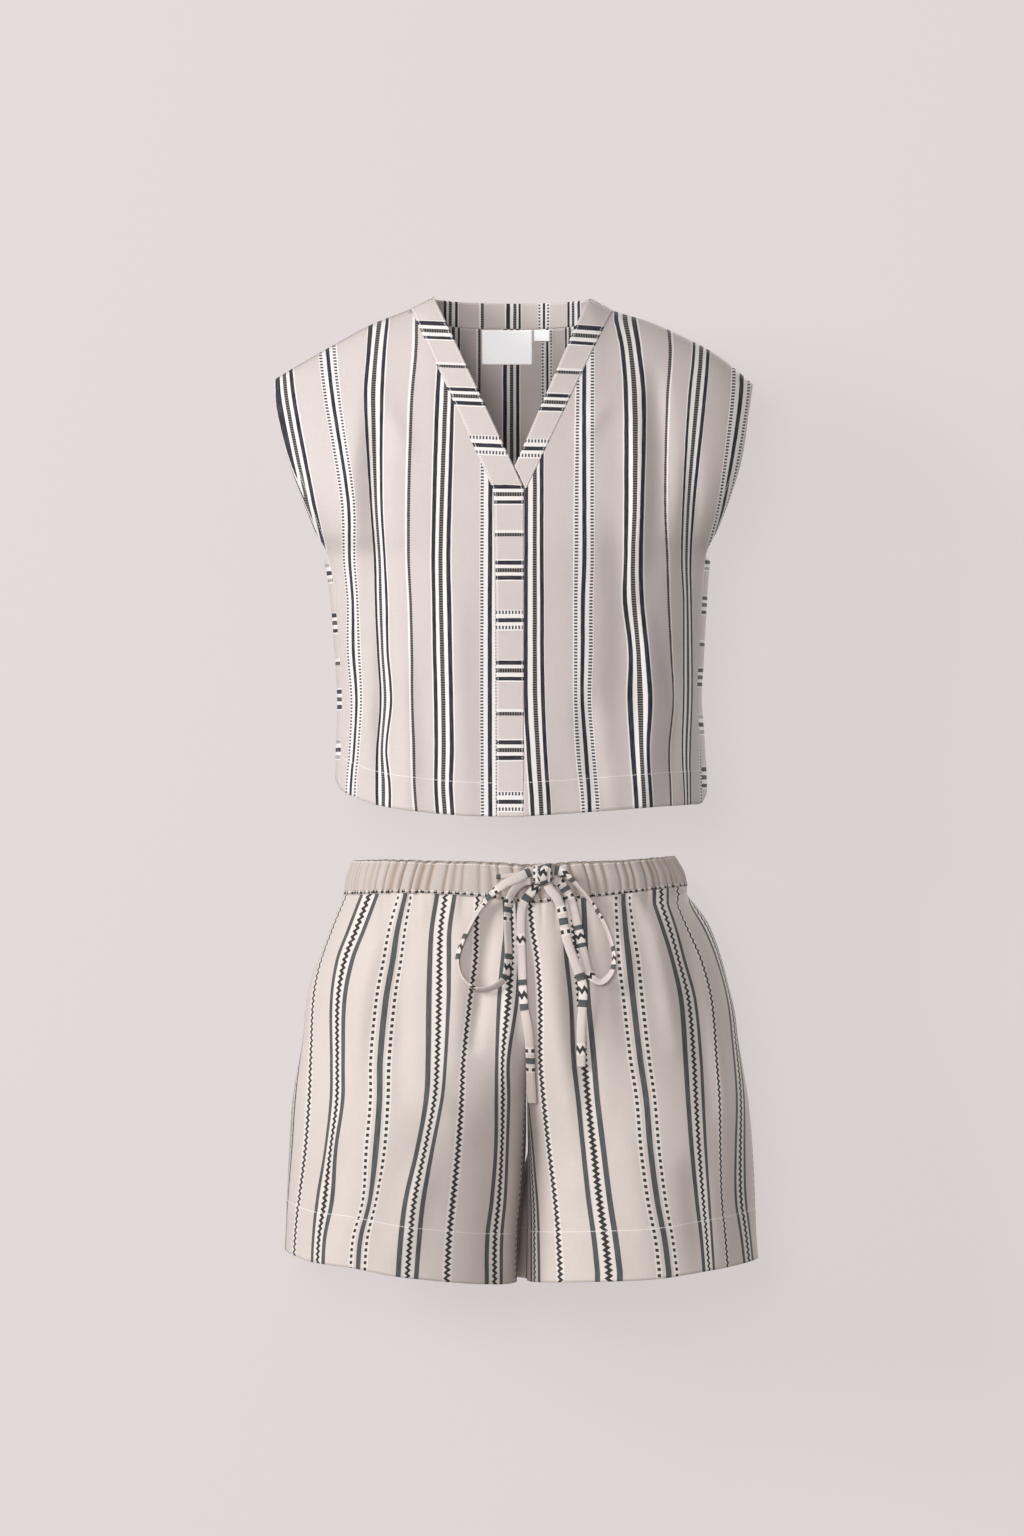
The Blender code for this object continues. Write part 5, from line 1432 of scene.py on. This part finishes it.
def gather_wave(share, rise):
    """Depth of the waistband's gathers round half the waist: 1 on a crest, 0 in a hollow."""
    count = 2 * BAND_GATHERS
    order = np.arange(count + 1)
    drift = np.sin(2.1 * order) + 0.6 * np.sin(0.83 * order + 1.0)
    drift[[0, -1]] = 0.0
    places = (order + GATHER_UNEVENNESS * drift) / count
    lean = 0.75 * np.sin(3.3 * order + 0.5) / count
    wave = np.zeros(np.broadcast(share, rise).shape)
    deep = 0.40 + 0.60 * np.sin(1.7 * order) ** 2
    for k in range(1, count, 2):
        centre = places[k] + lean[k] * (rise - 0.5)
        width = 0.24 * (places[k + 1] - places[k - 1])
        wave = np.maximum(wave, deep[k] * np.exp(-((share - centre) / width) ** 2))
    return wave


def waistband_points(share, rise, back):
    """The waistband's points, with narrow troughs between its rounded gathers."""
    settings = bpy.context.scene.clothes_cloth
    right = read(WAISTBAND_FORM, "right", rise)
    left = read(WAISTBAND_FORM, "left", rise)
    depth = read(WAISTBAND_FORM, "depth", rise)
    swell = read(WAISTBAND_FORM, "swell", rise) * WAIST_SWELL
    angle = math.pi * share
    middle = 0.5 * (right + left)
    half = 0.5 * (left - right)
    x = middle - half * np.cos(angle)
    y = depth * np.maximum(np.sin(angle), 0.0) ** (2.0 / HIP_POWER)
    out_x = -np.cos(angle) / half
    out_y = np.sin(angle) / depth
    length = np.hypot(out_x, out_y)
    wave = gather_wave(share + (BACK_GATHER_SHIFT if back else 0.0), rise)
    ends = np.clip(np.minimum(share, 1.0 - share) * 40.0, 0.0, 1.0)
    lift = swell + (0.7 * GATHER_DEPTH - settings.gather_depth * 1.25 * wave) * ends
    bottom = read(LEVELS, "band_bottom", x)
    top = read(LEVELS, "band_top", x) - 0.0011 * wave
    y = y + out_y / length * lift
    points = np.stack((x + out_x / length * lift, y if back else -y, mix(bottom, top, rise)), axis=-1)
    return points, wave


def leg_places(side, cells_across, cells_down):
    """Share from the outer edge in, and height, over one leg's front or back."""
    shares = 0.5 - 0.5 * np.cos(math.pi * np.arange(cells_across + 1) / cells_across)
    outer, inner = leg_edges(side, SHORTS_FORM["height"][0])
    top = read(LEVELS, "band_bottom", mix(outer, inner, shares))
    outer, inner = leg_edges(side, SHORTS_FORM["height"][-1])
    hem = read(LEVELS, "hem", mix(outer, inner, shares))
    down = np.linspace(0.0, 1.0, cells_down + 1)[:, None]
    z = mix(top[None], hem[None], down)
    return np.broadcast_to(shares[None], z.shape), z, z - hem[None] - SHORTS_HEM_DEPTH


class CLOTHES_OT_shorts_legs(Operator):
    """Builds the fronts and backs of the shorts."""

    bl_idname = "clothes.shorts_legs"
    bl_label = "Shorts legs"

    def execute(self, context):
        wall = context.scene.clothes_cloth.panel_wall
        cloth = material_once("shorts_cloth", shorts_cloth)
        for side, half, lines in ((-1, "right", LEG_RIGHT_LINES), (1, "left", LEG_LEFT_LINES)):
            for back, face in ((False, "front"), (True, "back")):
                share, z, from_hem = leg_places(side, LEG_CELLS_ACROSS, LEG_CELLS_DOWN)
                outer, inner = leg_edges(side, z)
                x = mix(outer, inner, share)
                if back and side > 0:
                    gap = inner - leg_edges(-1, z)[1]
                    roll = smooth_step(0.82, 0.97, share) * (1.0 - smooth_step(0.97, 1.0, share))
                    x = x - (gap + 0.03 * (outer - inner)) * smooth_step(0.0010, 0.0060, gap) * roll
                plain_reach = shorts_reach(side, share, z, back)
                seam = read(LEVELS, "band_bottom", x)
                near_seam = np.exp(-np.maximum(seam - z, 0.0) / LEG_GATHER_LENGTH)
                turned = np.clip((WAIST_MIDDLE - x) / WAIST_HALF_WIDTH, -1.0, 1.0)
                band_share = np.arccos(turned) / math.pi
                wave = gather_wave(band_share + (BACK_GATHER_SHIFT if back else 0.0), np.zeros_like(x))
                fade = np.clip(np.minimum(share, 1.0 - share) * 12.0, 0.0, 1.0)
                folds = fold_lift(SHORTS_BACK_FOLDS if back else SHORTS_FRONT_FOLDS, x, z)
                reach = plain_reach + (folds - LEG_GATHER_DEPTH * wave * near_seam) * fade
                points = np.stack((x, reach if back else -reach, z), axis=-1)
                if back:
                    steps, _ = level_run(x, plain_reach)
                    run = np.concatenate((np.zeros((len(x), 1)), np.cumsum(steps, axis=1)), axis=1)
                    widest = run[np.argmin(np.abs(z[:, LEG_CELLS_ACROSS // 2] - GATHERS_END)), -1]
                    below = smooth_step(-GATHERS_END - 0.03, -GATHERS_END + 0.03, -z)
                    gathered = mix(widest / run[:, -1:], 1.0, below)
                    across = BACK_LEG_START[side] - side * run * gathered
                else:
                    seen_x, seen_z = seen_from_front(x, reach, z)
                    across = charted_run(cloth_across(lines, seen_x, seen_z), x, plain_reach, -side)
                stitch = np.stack((from_hem, x), axis=-1)
                flip = -side * (-1.0 if back else 1.0)
                piece = cloth_shell(
                    f"shorts_{face}_{half}_cloth", points, np.stack((across, z), axis=-1), flip,
                    doubled_wall(wall, from_hem), stitch,
                )
                finish_piece(piece, f"shorts_{face}_{half}", cloth)
        return {"FINISHED"}


class CLOTHES_OT_waistband(Operator):
    """Builds the two halves of the gathered waistband."""

    bl_idname = "clothes.waistband"
    bl_label = "Waistband"

    def execute(self, context):
        wall = context.scene.clothes_cloth.waistband_wall
        # The waistband's cloth gets painted shade in the troughs of its gathers
        cloth = material_once("waistband_cloth", shorts_cloth, tone=0.84, bright_share=0.0, gathered=True)
        for back, face in ((False, "front"), (True, "back")):
            columns = np.linspace(0.0, 1.0, WAISTBAND_COLUMNS)
            share, rise = np.meshgrid(columns, np.linspace(0.0, 1.0, WAISTBAND_ROWS))
            points, wave = waistband_points(share, rise, back)
            rows = WAISTBAND_CLOTH_START + rise * WAISTBAND_CLOTH_DEPTH
            run = share * WAISTBAND_CLOTH_LENGTH
            cloth_map = np.stack((rows, run), axis=-1)
            up = rise * WAISTBAND_DEPTH
            from_seam = np.minimum(up - LOWER_STITCHES, UPPER_STITCHES - up)
            stitch = np.stack((from_seam, run), axis=-1)
            flip = -1.0 if back else 1.0
            piece = cloth_shell(
                f"waistband_{face}_cloth", points, cloth_map, flip, wall, stitch, WAISTBAND_GAP, wave,
            )
            finish_piece(piece, f"waistband_{face}", cloth)
        return {"FINISHED"}


# The drawstring


def route_points(points, per_metre):
    """The tape's middle line and turn, on the same curve as its solid's."""
    table = np.array(points, float)
    steps = np.hypot(np.diff(table[:, 0]), np.diff(table[:, 1]))
    lengths = np.concatenate(([0.0], np.cumsum(steps)))
    count = int(round(lengths[-1] * per_metre))
    along = np.linspace(0.0, lengths[-1], count + 1)
    x, z, lift, turn = (curve(lengths, table[:, k], along) for k in range(4))
    reach = np.max([front_cloth(x + step * TAPE_WIDTH, z) for step in (-0.6, 0.0, 0.6)], axis=0)
    return np.stack((x, -reach - lift - TAPE_CLEARANCE, z), axis=-1), np.radians(turn)


def tape_section(count=9):
    """The folded tape's section as shares of half its width and thickness: round edges, and a fold."""
    across = np.sin(np.linspace(-0.5, 0.5, count) * math.pi)
    upper = (1.0 - np.abs(across) ** 5) * (1.0 - 0.25 * np.exp(-(((across + 0.62) / 0.10) ** 2)))
    lower = -(1.0 - np.abs(across[-2:0:-1]) ** 5)
    return np.concatenate((
        np.stack((across, upper), axis=-1),
        np.stack((across[-2:0:-1], lower), axis=-1),
    ))


def sweep_tape(name, places, side_ways, cloth_start, pull=1.0, taper=None):
    """The flat tape swept along its middle line, with its width along side_ways at each point.

    The stripes cross it at cloth_start and on, closer together where pull is above 1.
    """
    along = np.gradient(places, axis=0)
    along /= np.linalg.norm(along, axis=-1, keepdims=True)
    side_ways = side_ways - np.sum(side_ways * along, axis=-1, keepdims=True) * along
    side_ways /= np.linalg.norm(side_ways, axis=-1, keepdims=True)
    face = np.cross(side_ways, along)
    section = tape_section()
    count = len(places)
    size = len(section)
    grow = np.ones(count) if taper is None else taper
    rings = (
        places[:, None]
        + side_ways[:, None] * section[None, :, :1] * (0.5 * TAPE_WIDTH * grow)[:, None, None]
        + face[:, None] * section[None, :, 1:] * 0.5 * TAPE_THICKNESS
    )
    vertices = np.concatenate((rings.reshape(-1, 3), places[:1], places[-1:]))
    index = np.arange(count * size).reshape(count, size)
    turned = np.roll(index, -1, axis=1)
    quads = np.stack((index[:-1], turned[:-1], turned[1:], index[1:]), axis=-1).reshape(-1, 4).tolist()
    first = [(count * size, int(b), int(a)) for a, b in zip(index[0], turned[0])]
    last = [(count * size + 1, int(a), int(b)) for a, b in zip(index[-1], turned[-1])]
    mesh = bpy.data.meshes.new(name)
    mesh.from_pydata(vertices.tolist(), [], quads + first + last)
    shape = bmesh.new()
    shape.from_mesh(mesh)
    bmesh.ops.recalc_face_normals(shape, faces=shape.faces[:])
    shape.to_mesh(mesh)
    shape.free()
    mesh.shade_smooth()
    mesh.set_sharp_from_angle(angle=math.radians(60.0))
    lengths = np.concatenate(([0.0], np.cumsum(np.linalg.norm(np.diff(places, axis=0), axis=1))))
    cloth = cloth_start + pull * lengths
    across = section[:, 0] * 0.5 * TAPE_WIDTH + TAPE_DOT_SHIFT
    pairs = np.stack(np.broadcast_arrays(cloth[:, None], across[None]), axis=-1).reshape(-1, 2)
    ends = [(cloth[0], 0.0), (cloth[-1], 0.0)]
    write_uv(mesh, "cloth", np.concatenate((pairs, ends)))
    write_uv(mesh, "stitch", np.full((len(vertices), 2), NO_STITCH))
    return new_object(name, mesh), float(lengths[-1])


def route_side_ways(places, turns):
    """The direction of the tape's width: flat to the front, then turned about the route."""
    along = np.gradient(places, axis=0)
    along /= np.linalg.norm(along, axis=-1, keepdims=True)
    across = np.cross(along, np.array((0.0, -1.0, 0.0)))
    across /= np.linalg.norm(across, axis=-1, keepdims=True)
    up = np.cross(along, across)
    return across * np.cos(turns)[:, None] + up * np.sin(turns)[:, None]


# For each tape its node, its route, the cloth at its start, how closely its stripes lie, and its far end
TAPES = (
    ("drawstring_loop_right", RIGHT_LOOP, 0.0555, 1.0, "object"),
    ("drawstring_loop_left", LEFT_LOOP, 0.0345, 1.15, "object"),
    ("drawstring_tail_right", RIGHT_TAIL, 0.1580, 0.85, "bare"),
    ("drawstring_tail_left", LEFT_TAIL, 0.0722, 0.80, "bare"),
)


class CLOTHES_OT_drawstring(Operator):
    """Builds the drawstring's loops and tails, and its knot."""

    bl_idname = "clothes.drawstring"
    bl_label = "Drawstring"

    def execute(self, context):
        cloth = material_once("drawstring_cloth", shorts_cloth)
        for node, route, cloth_start, pull, far_end in TAPES:
            places, turns = route_points(route, TAPE_POINTS_PER_METRE)
            side_ways = route_side_ways(places, turns)
            piece, length = sweep_tape(f"{node}_tape", places, side_ways, cloth_start, pull)
            finish_piece(piece, node, cloth)
        bpy.ops.object.select_all(action="DESELECT")
        bpy.ops.mesh.primitive_cube_add(size=1.0, location=KNOT_CENTRE)
        knot = context.active_object
        knot.name = "drawstring_knot_tape"
        knot.scale = [0.80 * size for size in KNOT_SIZE]
        bpy.ops.object.transform_apply(location=True, rotation=False, scale=True)
        bpy.ops.object.mode_set(mode="EDIT")
        bpy.ops.mesh.select_all(action="SELECT")
        bpy.ops.mesh.bevel(offset=0.0040, segments=4, profile=0.6, affect="EDGES")
        bpy.ops.object.mode_set(mode="OBJECT")
        for layer in list(knot.data.uv_layers):
            knot.data.uv_layers.remove(layer)
        corners = [
            (KNOT_CLOTH_START + vertex.co.x - KNOT_CENTRE[0], vertex.co.z) for vertex in knot.data.vertices
        ]
        write_uv(knot.data, "cloth", corners)
        write_uv(knot.data, "stitch", np.full((len(corners), 2), NO_STITCH))
        wraps = []
        for number, (shift, lean, turn, radius, cloth_start) in enumerate(KNOT_WRAPS):
            angle = np.linspace(turn - math.pi, turn + math.pi * 0.97, WRAP_POINTS)
            spread = np.linspace(-1.0, 1.0, WRAP_POINTS)
            places = np.stack((
                KNOT_CENTRE[0] + shift + lean * np.cos(angle) + 0.0008 * spread,
                KNOT_CENTRE[1] - 0.0068 * radius * np.cos(angle),
                KNOT_CENTRE[2] + 0.0088 * radius * np.sin(angle),
            ), axis=-1)
            side_ways = np.tile(np.array((1.0, 0.0, 0.12)), (WRAP_POINTS, 1))
            wrap, _ = sweep_tape(f"knot_wrap_{number}", places, side_ways, cloth_start)
            wraps.append(wrap)
        places = np.stack((
            np.linspace(0.0160, -0.0185, EAR_POINTS),
            np.linspace(-0.1062, -0.1042, EAR_POINTS),
            -0.5722 - 0.0032 * np.linspace(0.0, 1.0, EAR_POINTS) ** 0.7,
        ), axis=-1)
        upright = np.tile(np.array((0.0, 0.0, 1.0)), (EAR_POINTS, 1))
        narrowing = np.linspace(0.85, 0.50, EAR_POINTS)
        ear, _ = sweep_tape("knot_ear", places, upright, EAR_CLOTH_START, taper=narrowing)
        wraps.append(ear)
        bpy.ops.object.select_all(action="DESELECT")
        for wrap in wraps:
            wrap.select_set(True)
        knot.select_set(True)
        context.view_layer.objects.active = knot
        bpy.ops.object.join()
        knot.data.shade_smooth()
        finish_piece(knot, "drawstring_knot", cloth)
        return {"FINISHED"}


# The stage

BACKDROP_SHARE = 0.18
FLOOR_HEIGHT = -1.32
FLOOR_SIZE = 5.0
WALL_SIZE = 2.4
WALL_PLACE = 0.150
LIGHT_COLOUR = (1.0, 0.985, 0.975)
SKY_COLOUR = (0.96, 0.92, 0.92, 1.0)


def area_light(name, place, target, size, power, colour):
    light = bpy.data.lights.new(name, "AREA")
    light.shape = "RECTANGLE"
    light.size, light.size_y = size
    light.energy = power
    light.color = colour
    lamp = bpy.data.objects.new(name, light)
    bpy.context.scene.collection.objects.link(lamp)
    lamp.location = place
    lamp.rotation_euler = (Vector(target) - Vector(place)).to_track_quat("-Z", "Y").to_euler()
    return lamp


def backdrop_material(name, colour, glow):
    """Plain matte paper that is seen from its front only and lets light through."""
    material = bpy.data.materials.new(name)
    material.use_nodes = True
    tree = material.node_tree
    shader = tree.nodes["Principled BSDF"]
    shader.inputs["Base Color"].default_value = (*(value * BACKDROP_SHARE for value in colour), 1.0)
    shader.inputs["Roughness"].default_value = 1.0
    shader.inputs["Specular IOR Level"].default_value = 0.0
    shader.inputs["Emission Color"].default_value = (*colour, 1.0)
    shader.inputs["Emission Strength"].default_value = glow
    path = tree.nodes.new("ShaderNodeLightPath")
    geometry = tree.nodes.new("ShaderNodeNewGeometry")
    front = tree.nodes.new("ShaderNodeMath")
    front.operation = "SUBTRACT"
    front.use_clamp = True
    tree.links.new(path.outputs["Is Camera Ray"], front.inputs[0])
    tree.links.new(geometry.outputs["Backfacing"], front.inputs[1])
    clear = tree.nodes.new("ShaderNodeBsdfTransparent")
    joined = tree.nodes.new("ShaderNodeMixShader")
    tree.links.new(front.outputs[0], joined.inputs[0])
    tree.links.new(clear.outputs[0], joined.inputs[1])
    tree.links.new(shader.outputs[0], joined.inputs[2])
    tree.links.new(joined.outputs[0], tree.nodes["Material Output"].inputs[0])
    return material


class CLOTHES_OT_stage(Operator):
    """Sets the camera, the floor, the backdrop and the lights."""

    bl_idname = "clothes.stage"
    bl_label = "Stage"

    def execute(self, context):
        settings = context.scene.clothes_stage
        camera = bpy.data.objects.new("camera", bpy.data.cameras.new("camera"))
        context.scene.collection.objects.link(camera)
        camera.location = (PHOTO_CENTRE[0], -CAMERA_DISTANCE, PHOTO_CENTRE[1])
        camera.rotation_euler = (math.radians(90.0), 0.0, 0.0)
        camera.data.lens = LENS
        camera.data.sensor_width = SENSOR
        camera.data.clip_end = 100.0
        context.scene.camera = camera
        context.scene.view_settings.view_transform = "Standard"
        bpy.ops.object.select_all(action="DESELECT")
        paper = backdrop_material("backdrop_paper", settings.backdrop, settings.glow)
        bpy.ops.mesh.primitive_plane_add(size=FLOOR_SIZE, location=(0.0, 0.0, FLOOR_HEIGHT))
        floor = context.active_object
        floor.name = "floor"
        bpy.ops.mesh.primitive_plane_add(
            size=WALL_SIZE, location=(0.0, WALL_PLACE, FLOOR_HEIGHT + 0.5 * WALL_SIZE),
            rotation=(math.radians(90.0), 0.0, 0.0),
        )
        wall = context.active_object
        wall.name = "backdrop"
        for sheet in (floor, wall):
            sheet.data.materials.append(paper)
        middle = (0.0, 0.0, -0.48)
        area_light("key", (-4.2, -2.6, 1.1), middle, (2.0, 2.0), settings.key_power, LIGHT_COLOUR)
        area_light("front", (-0.9, -6.3, 0.4), middle, (1.6, 1.6), settings.fill_power, LIGHT_COLOUR)
        area_light("back_left", (2.4, 3.6, 1.0), middle, (2.4, 2.4), settings.back_power, LIGHT_COLOUR)
        world = bpy.data.worlds.new("pale_room")
        context.scene.world = world
        world.use_nodes = True
        sky = world.node_tree.nodes["Background"]
        sky.inputs["Color"].default_value = SKY_COLOUR
        sky.inputs["Strength"].default_value = settings.sky
        seen = world.node_tree.nodes.new("ShaderNodeBackground")
        seen.inputs["Color"].default_value = (*settings.backdrop, 1.0)
        path = world.node_tree.nodes.new("ShaderNodeLightPath")
        joined = world.node_tree.nodes.new("ShaderNodeMixShader")
        links = world.node_tree.links
        links.new(path.outputs["Is Camera Ray"], joined.inputs[0])
        links.new(sky.outputs[0], joined.inputs[1])
        links.new(seen.outputs[0], joined.inputs[2])
        links.new(joined.outputs[0], world.node_tree.nodes["World Output"].inputs["Surface"])
        return {"FINISHED"}


class CLOTHES_PT_panel(Panel):
    """Lists the set's builders and settings."""

    bl_idname = "CLOTHES_PT_panel"
    bl_label = "Striped set"
    bl_space_type = "VIEW_3D"
    bl_region_type = "UI"
    bl_category = "Clothes"

    def draw(self, context):
        layout = self.layout
        for operator in OPERATORS:
            layout.operator(operator.bl_idname)
        for group_name, _ in GROUPS:
            group = getattr(context.scene, group_name)
            for name in group.bl_rna.properties.keys():
                if name not in ("rna_type", "name"):
                    layout.prop(group, name)


OPERATORS = (
    CLOTHES_OT_stage,
    CLOTHES_OT_drawstring,
    CLOTHES_OT_waistband,
    CLOTHES_OT_shorts_legs,
    CLOTHES_OT_top_fronts,
    CLOTHES_OT_top_back,
    CLOTHES_OT_side_strips,
    CLOTHES_OT_neckbands,
    CLOTHES_OT_placket,
    CLOTHES_OT_labels,
)
GROUPS = (
    ("clothes_cloth", CLOTHES_PG_cloth),
    ("clothes_colours", CLOTHES_PG_colours),
    ("clothes_stage", CLOTHES_PG_stage),
)


def register():
    for name, group in GROUPS:
        bpy.utils.register_class(group)
        setattr(bpy.types.Scene, name, PointerProperty(type=group))
    for operator in OPERATORS:
        bpy.utils.register_class(operator)
    bpy.utils.register_class(CLOTHES_PT_panel)


def unregister():
    bpy.utils.unregister_class(CLOTHES_PT_panel)
    for operator in reversed(OPERATORS):
        bpy.utils.unregister_class(operator)
    for name, group in reversed(GROUPS):
        delattr(bpy.types.Scene, name)
        bpy.utils.unregister_class(group)


def main():
    """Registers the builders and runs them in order."""
    register()
    bpy.ops.clothes.stage()
    bpy.ops.clothes.drawstring()
    bpy.ops.clothes.waistband()
    bpy.ops.clothes.shorts_legs()
    bpy.ops.clothes.top_fronts()
    bpy.ops.clothes.top_back()
    bpy.ops.clothes.side_strips()
    bpy.ops.clothes.neckbands()
    bpy.ops.clothes.placket()
    bpy.ops.clothes.labels()


if __name__ == "__main__":
    main()
